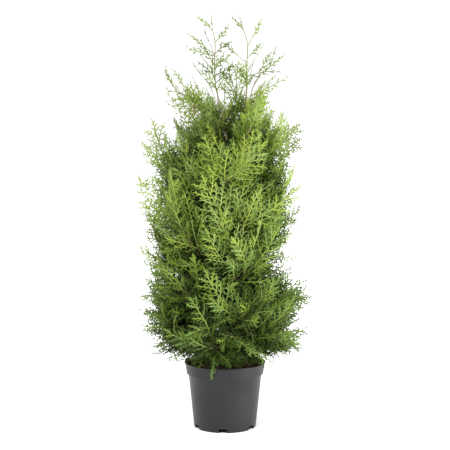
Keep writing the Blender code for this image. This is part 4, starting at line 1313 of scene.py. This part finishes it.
def bowed_twig(start, end, radius, sides, bow):
    """A twig that leaves its parent a little low and straightens upwards."""
    start, end = Vector(start), Vector(end)
    middle = start.lerp(end, 0.5) - UP * bow * (end - start).length
    return tube([start, middle, end], [radius * 1.2, radius, radius * 0.7], sides)


# ---------------------------------------------------------------- materials


def scaled(colour, share):
    return tuple(c * share for c in colour)


def blended(low, high, share):
    return tuple(a + (b - a) * share for a, b in zip(low, high))


class Finish:
    """A node material in the making: one shader, fed by noises on Object coordinates."""

    def __init__(self, name, **inputs):
        self.material = bpy.data.materials.new(name)
        self.material.use_nodes = True
        self.nodes, self.links = self.material.node_tree.nodes, self.material.node_tree.links
        self.shader = self.nodes["Principled BSDF"]
        self.set_inputs(self.shader, inputs)

    @staticmethod
    def set_inputs(node, inputs):
        for name, value in inputs.items():
            node.inputs[name.replace("_", " ")].default_value = value

    def node(self, kind, **inputs):
        made = self.nodes.new(kind)
        self.set_inputs(made, inputs)
        return made

    def noise(self, scale, detail=4.0, stretch=(1.0, 1.0, 1.0), rough=0.6):
        """A noise's strength over the piece, stretched by a Mapping node."""
        where = self.nodes.new("ShaderNodeTexCoord")
        mapping = self.node("ShaderNodeMapping", Scale=stretch)
        texture = self.node("ShaderNodeTexNoise", Scale=scale, Detail=detail, Roughness=rough)
        self.links.new(where.outputs["Object"], mapping.inputs["Vector"])
        self.links.new(mapping.outputs["Vector"], texture.inputs["Vector"])
        return texture.outputs["Fac"]

    def coloured(self, factor, *stops):
        """Base colour from a ramp of (place, colour) stops."""
        ramp = self.nodes.new("ShaderNodeValToRGB")
        elements = ramp.color_ramp.elements
        while len(elements) < len(stops):
            elements.new(0.5)
        for element, (place, colour) in zip(elements, stops):
            element.position = place
            element.color = (*colour, 1.0)
        self.links.new(factor, ramp.inputs["Fac"])
        self.links.new(ramp.outputs["Color"], self.shader.inputs["Base Color"])

    def roughened(self, factor, low, high):
        spread = self.node("ShaderNodeMapRange", To_Min=low, To_Max=high)
        self.links.new(factor, spread.inputs["Value"])
        self.links.new(spread.outputs["Result"], self.shader.inputs["Roughness"])

    def bumped(self, factor, strength, distance):
        bump = self.node("ShaderNodeBump", Strength=strength, Distance=distance)
        self.links.new(factor, bump.inputs["Height"])
        self.links.new(bump.outputs["Normal"], self.shader.inputs["Normal"])


def pot_plastic(settings):
    made = Finish("pot plastic", Specular_IOR_Level=0.38)
    colour, rough = tuple(settings.colour), settings.roughness
    made.coloured(made.noise(14.0, detail=3.0), (0.30, scaled(colour, 0.88)), (0.72, scaled(colour, 1.14)))
    made.roughened(made.noise(60.0, stretch=(1.0, 1.0, 0.3)), rough - 0.06, rough + 0.10)
    made.bumped(made.noise(900.0, detail=2.0), 0.10, 0.0003)
    return made.material


def peat(settings, name="growing medium", lift=1.0):
    made = Finish(name, Roughness=0.93)
    colour = scaled(tuple(settings.colour), lift)
    fibre = (colour[0] * 2.6, colour[1] * 2.1, colour[2] * 1.7)
    clods = made.noise(170.0, detail=8.0, rough=0.7)
    made.coloured(clods, (0.30, scaled(colour, 0.35)), (0.52, colour), (0.68, fibre))
    made.bumped(made.noise(420.0, detail=6.0, rough=0.75), 0.8, 0.002)
    return made.material


def bark_finish(name, colour):
    made = Finish(name, Roughness=0.85)
    fibres = made.noise(260.0, detail=6.0, stretch=(1.0, 1.0, 0.12), rough=0.7)
    made.coloured(fibres, (0.32, scaled(colour, 0.45)), (0.52, colour), (0.70, scaled(colour, 1.7)))
    made.bumped(fibres, 0.7, 0.0012)
    return made.material


def leaf_finish(name, colour, roughness):
    """Scale leaves of one plain colour, a little uneven, with the faint relief of their scales."""
    made = Finish(name, Roughness=roughness, Specular_IOR_Level=0.22)
    made.coloured(made.noise(120.0, detail=2.0), (0.35, scaled(colour, 0.86)), (0.65, scaled(colour, 1.12)))
    made.bumped(made.noise(700.0, detail=1.0), 0.25, 0.0005)
    return made.material


FLOOR_PAINTED_GLOW = 0.16  # painted light: the floor glows a little, as if lit from beneath, which keeps its shadows faint


def floor_finish():
    white = (1.0, 1.0, 1.0, 1.0)
    painted_glow = {"Emission_Color": white, "Emission_Strength": FLOOR_PAINTED_GLOW}
    made = Finish("floor", Roughness=0.9, Specular_IOR_Level=0.1, **painted_glow)
    made.coloured(made.noise(3.0), (0.0, (0.93, 0.93, 0.93)), (1.0, (0.96, 0.96, 0.96)))
    return made.material


# ---------------------------------------------------------------- modelling by hand


def deselect_all():
    bpy.ops.object.select_all(action="DESELECT")


def finished(obj, name, finish, slot, *nodes):
    """Names a modelled piece, gives it its finish and sets it in for its nodes."""
    obj.name = obj.data.name = name
    bpy.ops.object.transform_apply(location=True, rotation=True, scale=True)
    obj.data.materials.clear()
    obj.data.materials.append(finish)
    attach(obj, "root")
    if nodes:
        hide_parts(*nodes)
    return obj


def apply_modifiers(obj):
    for modifier in list(obj.modifiers):
        bpy.ops.object.modifier_apply(modifier=modifier.name)


def subtract(obj, cutter):
    """Cuts one solid from another and removes it."""
    deselect_all()
    obj.select_set(True)
    bpy.context.view_layer.objects.active = obj
    cut = obj.modifiers.new("cut", "BOOLEAN")
    cut.operation = "DIFFERENCE"
    cut.object = cutter
    apply_modifiers(obj)
    bpy.data.objects.remove(cutter)


def turn_profile(profile, sides):
    """Extrudes a ring of edges through the profile's (radius, height) points, and closes both ends."""
    deselect_all()
    (radius, height), *rest = profile
    bpy.ops.mesh.primitive_circle_add(
        vertices=sides, radius=radius, location=(0, 0, height), fill_type="NGON"
    )
    obj = bpy.context.object
    bpy.ops.object.transform_apply(location=True, rotation=False, scale=False)
    bpy.ops.object.mode_set(mode="EDIT")
    bpy.ops.mesh.select_mode(type="EDGE")
    bpy.ops.mesh.select_all(action="SELECT")
    for next_radius, next_height in rest:
        bpy.ops.mesh.extrude_edges_move(TRANSFORM_OT_translate={"value": (0, 0, next_height - height)})
        share = next_radius / radius
        bpy.ops.transform.resize(value=(share, share, 1.0), center_override=(0, 0, next_height))
        radius, height = next_radius, next_height
    bpy.ops.mesh.edge_face_add()
    bpy.ops.mesh.select_all(action="SELECT")
    bpy.ops.mesh.normals_make_consistent(inside=False)
    bpy.ops.object.mode_set(mode="OBJECT")
    return obj


def arc(centre, radius, first, last, steps):
    """Points of an arc in the section, from one angle to another in degrees."""
    turns = np.radians(np.linspace(first, last, steps))
    return [(centre[0] + radius * math.cos(t), centre[1] + radius * math.sin(t)) for t in turns.tolist()]


class THUJA_OT_pot(bpy.types.Operator):
    """Model the nursery pot: tapered wall, skirt, rolled lip and notched foot"""

    bl_idname = "thuja.pot"
    bl_label = "Pot"

    def execute(self, context):
        settings = context.scene.thuja_pot
        top, wall = POT_HEIGHT, settings.wall
        skirt_foot = top - settings.skirt_height
        foot, body, skirt, skirt_top = 0.0858, 0.1012, 0.1066, 0.1102
        bead = 0.0017
        profile = [
            (0.029, 0.0), (0.030, 0.0004), (0.0305, 0.0012),
            (0.0826, 0.0012), (0.0832, 0.0004), (0.0838, 0.0),
            *arc((foot - 0.0010, 0.0010), 0.0010, -90, 0, 4),
            *[(foot + (body - foot) * s, 0.0010 + (skirt_foot - 0.0020) * s) for s in (0.33, 0.66, 1.0)],
            (body + 0.0006, skirt_foot), (skirt - 0.0010, skirt_foot + 0.0004),
            (skirt, skirt_foot + 0.0016), (skirt_top, top - 0.0048),
            *arc((LIP_RADIUS - bead, top - bead), bead, -60, 90, 7),
            (skirt_top - wall + 0.0006, top), (skirt_top - wall, top - 0.0010),
            (skirt - wall, skirt_foot + 0.004), (body - wall, skirt_foot),
            (foot - wall, 0.0150), (foot - wall - 0.002, 0.0130), (0.029, 0.0130),
        ]
        obj = turn_profile(profile, 160)
        self.cut_notches(obj)
        bpy.ops.object.shade_smooth_by_angle(angle=math.radians(32))
        finished(obj, "nursery_pot", pot_plastic(settings), "pot", "pot")
        return {"FINISHED"}

    @staticmethod
    def cut_notches(obj):
        """Six drain notches through the foot's edge, into a hollow under the floor."""
        deselect_all()
        bpy.ops.mesh.primitive_cylinder_add(
            vertices=120, radius=0.0822, depth=0.0088, location=(0, 0, 0.0066)
        )
        subtract(obj, bpy.context.object)
        count, radius, width, height, depth = 6, 0.0882, 0.0225, 0.0106, 0.0150
        for k in range(count):
            azimuth = math.radians(-93.5) + 2 * math.pi * k / count
            deselect_all()
            bpy.ops.mesh.primitive_cube_add(
                size=1.0, location=polar(radius, azimuth, 0.0), rotation=(0, 0, azimuth),
                scale=(depth, width, 2 * height),
            )
            subtract(obj, bpy.context.object)


def displace_by_clouds(obj, name, sizes, strength, **options):
    """Displaces a mesh by cloud textures of several sizes, each with its share of the strength."""
    for size, share in sizes:
        texture = bpy.data.textures.new(name, "CLOUDS")
        texture.noise_scale = size
        displace = obj.modifiers.new(name, "DISPLACE")
        displace.texture = texture
        displace.strength = strength * share
        displace.mid_level = 0.5
        for option, value in options.items():
            setattr(displace, option, value)


CRUMB_SEED = 5
CRUMB_LENGTHS = (0.0012, 0.0034)
OCTAHEDRON = np.array([(1, 0, 0), (0, 1, 0), (-1, 0, 0), (0, -1, 0), (0, 0, 1), (0, 0, -1)], float)
OCTAHEDRON_FACES = np.array(
    [(0, 1, 4), (1, 2, 4), (2, 3, 4), (3, 0, 4), (1, 0, 5), (2, 1, 5), (3, 2, 5), (0, 3, 5)]
)


def soil_rise(share):
    """How far the domed medium stands above its edge, at that share of its radius."""
    return (SOIL_CROWN - SOIL_EDGE_HEIGHT) * (1 - share**2)


class THUJA_OT_growing_medium(bpy.types.Operator):
    """Model the peat in the pot, with its clods and loose bits of bark"""

    bl_idname = "thuja.growing_medium"
    bl_label = "Growing Medium"

    def execute(self, context):
        settings = context.scene.thuja_soil
        edge = SOIL_HIGH.x - 0.0003
        profile = [(0.080, 0.0136), (0.0834, 0.0150), (0.0988, 0.148), (edge - 0.003, 0.152)]
        rings = 34
        for k in range(rings + 1):
            radius = edge * (1 - k / (rings + 1.0))
            profile.append((radius, SOIL_EDGE_HEIGHT + soil_rise(radius / edge)))
        obj = turn_profile(profile, 120)
        low, inside = SOIL_EDGE_HEIGHT - 0.0005, edge - 0.001
        top = [v.index for v in obj.data.vertices if v.co.z > low and v.co.xy.length < inside]
        obj.vertex_groups.new(name="top").add(top, 1.0, "REPLACE")
        upwards = {"direction": "Z", "vertex_group": "top"}
        displace_by_clouds(obj, "clods", ((0.011, 0.6), (0.0042, 0.55)), settings.clods, **upwards)
        apply_modifiers(obj)
        bpy.ops.object.shade_smooth()
        finished(obj, "peat", peat(settings), "growing_medium", "growing_medium")
        self.scatter_crumbs(settings, edge)
        return {"FINISHED"}

    @staticmethod
    def scatter_crumbs(settings, edge):
        """Loose chips of bark on top: joined octahedra, flattened and jittered."""
        rng = np.random.default_rng(CRUMB_SEED)
        parts = []
        for _ in range(settings.crumbs):
            radius = (edge - 0.004) * math.sqrt(rng.uniform(0.02, 1.0))
            place = polar(radius, rng.uniform(-math.pi, math.pi), SOIL_EDGE_HEIGHT)
            place.z += soil_rise(radius / edge) + rng.uniform(-0.0004, 0.0014)
            length = rng.uniform(*CRUMB_LENGTHS)
            size = length * np.array([1.0, rng.uniform(0.35, 0.8), rng.uniform(0.25, 0.5)])
            shape = OCTAHEDRON * size * rng.uniform(0.75, 1.25, (6, 1))
            turned = Matrix.Rotation(rng.uniform(-math.pi, math.pi), 3, "Z")
            spin = turned @ Matrix.Rotation(rng.uniform(-0.5, 0.5), 3, "X")
            parts.append((shape @ np.array(spin).T + np.array(place), OCTAHEDRON_FACES))
        obj = array_piece("bark_crumbs", parts, peat(settings, "bark crumbs", 1.9))
        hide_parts("growing_medium")


RIDGE_STRETCH = 7.0  # how much longer than wide the bark's ridges are
COLLAR = 0.45  # how much thicker a limb is at its root, and over how many points that fades
COLLAR_POINTS = 2.5


class THUJA_OT_limbs(bpy.types.Operator):
    """Model the trunk, the second leader and the boughs, with the bark's relief"""

    bl_idname = "thuja.limbs"
    bl_label = "Trunk and Boughs"

    def execute(self, context):
        settings = context.scene.thuja_bark
        finish = bark_finish("bark", tuple(settings.colour))
        limbs, boughs, _ = plant()
        trunk = limbs["trunk"]
        foot = trunk["line"][0]
        line = [foot - UP * TRUNK_IN_SOIL, *smooth_line(trunk["line"], 3)]
        radii = [trunk_radius(max(p.z, foot.z)) for p in line]
        self.limb("trunk_bark", line, radii, 26, 0.9, settings.relief, finish, "trunk")
        line, radii = self.rooted(limbs["second_leader"])
        self.limb("second_leader_bark", line, radii, 20, 0.8, settings.relief, finish, "second_leader")
        for name, bough in boughs.items():
            line, radii = self.rooted(bough)
            self.limb(f"{name}_bark", line, radii, 14, 0.8, settings.relief, finish, name)
        return {"FINISHED"}

    @staticmethod
    def rooted(limb):
        """A limb's smooth line and radii, run back into its parent with a swollen collar."""
        line = smooth_line([limb["root"], *limb["line"]], 3)
        radii = np.interp(np.linspace(0, 1, len(line)), np.linspace(0, 1, len(limb["radii"])), limb["radii"])
        collar = 1 + COLLAR * np.exp(-np.arange(len(line)) / COLLAR_POINTS)
        return line, (radii * collar).tolist()

    @staticmethod
    def limb(name, line, radii, sides, step, relief, finish, node):
        """A straight tube of unit radius, roughened into ridges, then bent and tapered along the line."""
        length = sum((b - a).length for a, b in zip(line, line[1:]))
        depth = length / float(np.mean(radii))
        deselect_all()
        bpy.ops.mesh.primitive_cylinder_add(
            vertices=sides, radius=1.0, depth=depth, location=(0, 0, depth / 2)
        )
        obj = bpy.context.object
        bpy.ops.object.transform_apply(location=True, rotation=False, scale=False)
        bpy.ops.object.mode_set(mode="EDIT")
        bpy.ops.mesh.select_all(action="DESELECT")
        bpy.ops.object.mode_set(mode="OBJECT")
        for edge in obj.data.edges:
            low, high = (obj.data.vertices[v].co.z for v in edge.vertices)
            edge.select = abs(high - low) > depth / 2
        bpy.ops.object.mode_set(mode="EDIT")
        bpy.ops.mesh.select_mode(type="EDGE")
        bpy.ops.mesh.subdivide(number_cuts=max(4, int(depth / step)))
        bpy.ops.object.mode_set(mode="OBJECT")
        stretch = bpy.data.objects.new("stretch", None)
        stretch.scale = (1.0, 1.0, RIDGE_STRETCH)
        bpy.context.scene.collection.objects.link(stretch)
        along_limb = {"texture_coords": "OBJECT", "texture_coords_object": stretch}
        displace_by_clouds(obj, "ridges", ((0.55, 1.0), (0.22, 0.6)), relief, **along_limb)
        guide = bpy.data.curves.new("guide", "CURVE")
        guide.dimensions = "3D"
        spline = guide.splines.new("POLY")
        spline.points.add(len(line) - 1)
        for point, place, radius in zip(spline.points, line, radii):
            point.co = (*place, 1.0)
            point.radius = radius
        guide.use_radius = guide.use_stretch = guide.use_deform_bounds = True
        path = bpy.data.objects.new("guide", guide)
        bpy.context.scene.collection.objects.link(path)
        bend = obj.modifiers.new("bend", "CURVE")
        bend.object = path
        bend.deform_axis = "POS_Z"
        bpy.context.view_layer.update()
        apply_modifiers(obj)
        bpy.data.objects.remove(stretch)
        bpy.data.objects.remove(path)
        bpy.ops.object.shade_smooth_by_angle(angle=math.radians(60))
        finished(obj, name, finish, "bark", node)


class THUJA_OT_twigs(bpy.types.Operator):
    """Grow the stems and twigs that carry the sprays"""

    bl_idname = "thuja.twigs"
    bl_label = "Stems and Twigs"

    def execute(self, context):
        settings = context.scene.thuja_bark
        stems, twigs, shoots, fans = [], [], [], []
        for mass in plant()[2]:
            stem = mass["stem"]
            line = smooth_line([stem.get("root", stem["line"][0]), *stem["line"][1:]], 2)
            radii = np.linspace(stem["radii"][0], stem["radii"][-1], len(line)).tolist()
            if "shoot" in mass:
                shoots.append(tube(line, radii, 6))
                shoots += [bowed_twig(start, end, SHOOT_TWIG_RADIUS, 5, 0.05) for start, end in mass["twigs"]]
                continue
            stems.append(tube(line, radii, 6))
            twigs += [bowed_twig(start, end, TWIG_RADIUS, 5, 0.05) for start, end in mass["twigs"]]
            for spray in mass["fine_sprays"]:
                if spray["twig"]:
                    twigs.append(bowed_twig(spray["start"], spray["root"], FINE_TWIG_RADIUS, 4, 0.06))
            radii = np.linspace(FAN_TWIG_RADIUS, FAN_TWIG_RADIUS / 2, 6).tolist()
            fans += [tube(line, radii, 4) for line in mass["fans"]]
        stem_colour = blended(settings.colour, settings.twig_colour, 0.4)
        pieces = (
            ("stems", stems, "stem bark", stem_colour),
            ("twigs", twigs, "twig bark", settings.twig_colour),
            ("shoots", shoots, "shoot bark", settings.shoot_colour),
            ("fan_twigs", fans, "young bark", settings.young_colour),
        )
        for name, parts, bark, colour in pieces:
            obj = array_piece(name, parts, bark_finish(bark, tuple(colour)))
            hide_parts(*MASSES)
        return {"FINISHED"}


# Colours of the sprays, from the darkest to the lightest: share of the way from the deep green to the lime.
# The dark tones are partly the older inner foliage's own colour and partly painted shade on covered, low
# sprays; the light tones are partly the young tips' own colour and partly painted light on open, high sprays.
TONES = (
    ("shade", 0.02), ("deep", 0.13), ("bottle", 0.26), ("leaf", 0.42), ("fresh", 0.60),
    ("light", 0.80), ("lime", 1.0),
)
TONE_SEED = 31
TONE_STEPS = (-1, 0, 1)  # tones by which a spray's inner lobes, outer strands and axis differ

# Two casts of every tone, as shares of its red, green and blue, and how many sprays are cool, as
# (share of the crown's height, share of sprays).
CASTS = (("warm", (1.02, 1.0, 0.66)), ("cool", (0.97, 1.0, 1.10)))
# The cool cast is partly random hue and partly painted shade: more sprays take it low down, where the crown
# is shaded.
COOL_SHARE = ((0.0, 0.66), (0.3, 0.50), (0.6, 0.46), (1.0, 0.40))
EDGE_HEIGHT = 0.26  # sprays below this height and outside this radius are never plain inner ones
EDGE_RADIUS = 0.09
INNER_HIGHEST = 0.80  # and none above this height are
SHORT_SPRAY = 0.064  # sprays up to this length take the simpler shapes
BROAD_SHARE = ((0.0, 0.85), (0.20, 0.60), (0.42, 0.0))  # how many take the broad, dense shapes, by height
CROWN_FOOT = 0.19  # the shares of the crown's height run from here to its top
LIT_SHARE = 0.68  # how far the light alone brings an uncovered spray towards the last tone
# Painted light: tone added or taken away by share of the crown's height, lighter at the top where more light
# falls and darker at the foot.
PAINTED_LIGHT_BY_HEIGHT = ((0.0, -0.35), (0.20, -0.23), (0.34, -0.04), (0.50, 0.07), (0.70, 0.21), (1.0, 0.42))
OPEN_LIGHT_HEIGHT = 0.96  # open sprays below this height are a tone lighter

# Cover: the foliage that lies outside a spray, further ahead than its own depth and within its width,
# counted in sprays of one size; the cover that dims the light to about a third, and the cover past
# which a spray is an inner one.
COVER_AHEAD = 0.012
COVER_ASIDE = 0.038
COVER_SPRAY = 0.1
COVER_DEPTH = 3.0
# Sprays past this cover are painted shade: they take the plain inner shape in the darkest tone.
INNER_COVER = 6.5


def cover_over(sprays):
    """How much foliage lies outside each spray, towards the sky."""
    middles = np.array([tuple(s["root"]) for s in sprays])
    runs = np.array([[s["length"] * 0.55] for s in sprays])
    middles += np.array([tuple(s["forward"]) for s in sprays]) * runs
    sizes = np.array([(s["length"] / COVER_SPRAY) ** 2 for s in sprays])
    outward = unit(unit(middles * (1.0, 1.0, 0.0)) + UP_ROW * 0.35)
    covers = []
    for middle, way in zip(middles, outward):
        offsets = middles - middle
        ahead = offsets @ way
        aside = np.sum(offsets**2, axis=1) - ahead**2
        covers.append(sizes[(ahead > COVER_AHEAD) & (aside < COVER_ASIDE**2)].sum())
    return np.array(covers)


class THUJA_OT_sprays(bpy.types.Operator):
    """Set the flat sprays of scale leaves on their twigs, each in its own plain green: darker where other
    foliage covers it and lower down, as painted shade, and lighter where it is open and higher up, as painted
    light
    """

    bl_idname = "thuja.sprays"
    bl_label = "Sprays"

    def execute(self, context):
        settings = context.scene.thuja_crown
        shapes = spray_shapes()
        rng = np.random.default_rng(TONE_SEED)
        sprays = []
        for mass in plant()[2]:
            lift, coolness = rng.uniform(-0.08, 0.08), rng.uniform(-0.25, 0.25)
            for spray in [*mass["sprays"], *mass["fine_sprays"]]:
                spray.update(lift=lift, coolness=coolness, on_shoot="shoot" in mass)
                sprays.append(spray)
        batches = {}
        for spray, cover in zip(sprays, cover_over(sprays).tolist()):
            key = self.kind_and_tone(spray, cover, rng)
            number = int(rng.integers(0, SHAPES_OF_A_KIND))
            batches.setdefault((*key, number), []).append(spray)
        parts = {}
        for (kind, tone, cast, number), sprays in sorted(batches.items(), key=lambda item: item[0]):
            for shape, step in zip(shapes[kind][number], (0, 0, 0) if kind == "inner" else TONE_STEPS):
                if len(shape[2]):
                    parts.setdefault((tone + step, cast), []).append(place_shape(shape, sprays))
        for (tone, cast), placed in sorted(parts.items()):
            self.pieces(tone, cast, placed, settings)
        return {"FINISHED"}

    @staticmethod
    def kind_and_tone(spray, cover, rng):
        """Painted light and shade: plain and dark deep inside the crown, where other foliage covers the
        spray; lighter outwards and upwards, with a little chance.
        """
        tip = spray["root"] + spray["forward"] * spray["length"] * 0.6
        up = (tip[2] - CROWN_FOOT) / (CROWN_TOP - CROWN_FOOT)
        chance = spray.get("bias", 0.0) + spray["lift"] + rng.uniform(-0.12, 0.12)
        cast = int(rng.uniform() < profile_at(COOL_SHARE, up) + spray["coolness"])
        if spray["on_shoot"] or spray.get("kind") == "open":
            lowest = 3 if tip[2] < OPEN_LIGHT_HEIGHT else 2
            return "open", int(rng.integers(lowest, lowest + 3)), 0
        kind = "full" if spray["length"] > SHORT_SPRAY else "small"
        kind = "broad" if rng.uniform() < profile_at(BROAD_SHARE, up) else kind
        kind = spray.get("kind", kind)
        at_edge = tip[2] < EDGE_HEIGHT and math.hypot(tip[0], tip[1]) > EDGE_RADIUS
        if cover > INNER_COVER and "kind" not in spray and not at_edge and tip[2] < INNER_HIGHEST:
            return "inner", 0, 0
        # Painted light and shade: the tone falls as the cover outside the spray grows, and rises with height.
        value = LIT_SHARE * math.exp(-cover / COVER_DEPTH) + float(profile_at(PAINTED_LIGHT_BY_HEIGHT, up)) + chance
        last = len(TONES) - 2
        return kind, int(np.clip(value * last + 1.5, 1, last)), cast

    @staticmethod
    def pieces(tone, cast, parts, settings):
        """One or more pieces of a tone and cast, each under the triangle limit."""
        (name, share), (cast_name, tint) = TONES[tone], CASTS[cast]
        colour = tuple(c * t for c, t in zip(leaf_colour(settings, share), tint))
        finish = leaf_finish(f"{name} {cast_name} leaves", colour, settings.roughness)
        chunks, count = [[]], 0
        for part in parts:
            if count + len(part[1]) > PIECE_TRIANGLES:
                chunks.append([])
                count = 0
            chunks[-1].append(part)
            count += len(part[1])
        for k, chunk in enumerate(chunks):
            obj = array_piece(f"sprays_{name}_{cast_name}_{k + 1}", chunk, finish)
            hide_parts(*MASSES)


def leaf_colour(settings, share):
    """From the deep green through the leaf green to the lime, evenly to the eye."""
    deep, leaf, lime = (np.array(tuple(c)) ** 0.4545 for c in (settings.deep, settings.leaf, settings.lime))
    low, high, part = (deep, leaf, share / 0.5) if share < 0.5 else (leaf, lime, share / 0.5 - 1)
    return tuple(((low + (high - low) * part) ** 2.2).tolist())


FLOOR_RADIUS = 60.0
FLOOR_MIDDLE = 5.0  # radius of the floor's middle face, under the plant
FLOOR_DROP = 0.0002
SENSOR_WIDTH = 36.0
KEY_SPREAD = math.radians(45)
KEY_HEIGHT = math.radians(50)
KEY_SIDE = math.radians(-28)
FILL_PLACE = Vector((1.7, -0.9, 0.30))
FILL_SIZE = 0.8


class THUJA_OT_stage(bpy.types.Operator):
    """Set the pale floor, the soft light and the camera"""

    bl_idname = "thuja.stage"
    bl_label = "Stage"

    def execute(self, context):
        scene, settings = context.scene, context.scene.thuja_stage
        scene.view_settings.view_transform = "Standard"
        deselect_all()
        bpy.ops.mesh.primitive_circle_add(
            vertices=96, radius=FLOOR_RADIUS, fill_type="NGON", location=(0, 0, -FLOOR_DROP)
        )
        floor = context.object
        bpy.ops.object.mode_set(mode="EDIT")
        bpy.ops.mesh.select_all(action="SELECT")
        bpy.ops.mesh.inset(thickness=FLOOR_RADIUS - FLOOR_MIDDLE)
        bpy.ops.object.mode_set(mode="OBJECT")
        floor.name = "floor"
        floor.data.materials.append(floor_finish())
        self.light(context, settings)
        data = bpy.data.cameras.new("camera")
        camera = bpy.data.objects.new("camera", data)
        scene.collection.objects.link(camera)
        data.sensor_width = SENSOR_WIDTH
        data.lens = SENSOR_WIDTH / 2 / math.tan(settings.field / 2)
        camera.location = (0.0, -settings.distance, settings.height)
        camera.rotation_euler = (math.pi / 2 - settings.pitch, 0.0, 0.0)
        scene.camera = camera
        return {"FINISHED"}

    @staticmethod
    def light(context, settings):
        """White surroundings, one broad, soft key from the front and above, and a softbox at the right."""
        world = bpy.data.worlds.new("surroundings")
        world.use_nodes = True
        background = world.node_tree.nodes["Background"]
        background.inputs["Color"].default_value = (1.0, 1.0, 1.0, 1.0)
        background.inputs["Strength"].default_value = settings.sky
        context.scene.world = world
        data = bpy.data.lights.new("key", "SUN")
        data.energy = settings.key
        data.angle = KEY_SPREAD
        key = bpy.data.objects.new("key", data)
        source = polar(math.cos(KEY_HEIGHT), math.radians(-90) + KEY_SIDE, math.sin(KEY_HEIGHT))
        key.rotation_euler = source.to_track_quat("Z", "Y").to_euler()
        context.scene.collection.objects.link(key)
        data = bpy.data.lights.new("fill", "AREA")
        data.energy, data.size = settings.fill, FILL_SIZE
        fill = bpy.data.objects.new("fill", data)
        fill.location = FILL_PLACE
        fill.rotation_euler = (FILL_PLACE - Vector((0.0, 0.0, 0.3))).to_track_quat("Z", "Y").to_euler()
        fill.visible_camera = False
        context.scene.collection.objects.link(fill)


class THUJA_PT_panel(bpy.types.Panel):
    """Lists the pieces in the order in which they are made"""

    bl_label = "Potted Thuja"
    bl_idname = "THUJA_PT_panel"
    bl_space_type = "VIEW_3D"
    bl_region_type = "UI"
    bl_category = "Thuja"

    def draw(self, context):
        for operator in OPERATORS:
            self.layout.operator(operator.bl_idname)
        for name in SETTINGS:
            group = getattr(context.scene, name)
            box = self.layout.box()
            for prop in group.bl_rna.properties:
                if prop.identifier not in ("name", "rna_type"):
                    box.prop(group, prop.identifier)


SETTINGS = {
    "thuja_pot": ThujaPotSettings,
    "thuja_soil": ThujaSoilSettings,
    "thuja_bark": ThujaBarkSettings,
    "thuja_crown": ThujaCrownSettings,
    "thuja_stage": ThujaStageSettings,
}
OPERATORS = (
    THUJA_OT_stage, THUJA_OT_pot, THUJA_OT_growing_medium, THUJA_OT_limbs, THUJA_OT_twigs, THUJA_OT_sprays,
)


def register():
    for made in (*SETTINGS.values(), *OPERATORS, THUJA_PT_panel):
        bpy.utils.register_class(made)
    for name, group in SETTINGS.items():
        setattr(bpy.types.Scene, name, PointerProperty(type=group))


def unregister():
    for name in SETTINGS:
        delattr(bpy.types.Scene, name)
    for made in reversed((*SETTINGS.values(), *OPERATORS, THUJA_PT_panel)):
        bpy.utils.unregister_class(made)


def main():
    register()
    bpy.ops.thuja.stage()
    bpy.ops.thuja.pot()
    bpy.ops.thuja.growing_medium()
    bpy.ops.thuja.limbs()
    bpy.ops.thuja.twigs()
    bpy.ops.thuja.sprays()


if __name__ == "__main__":
    main()
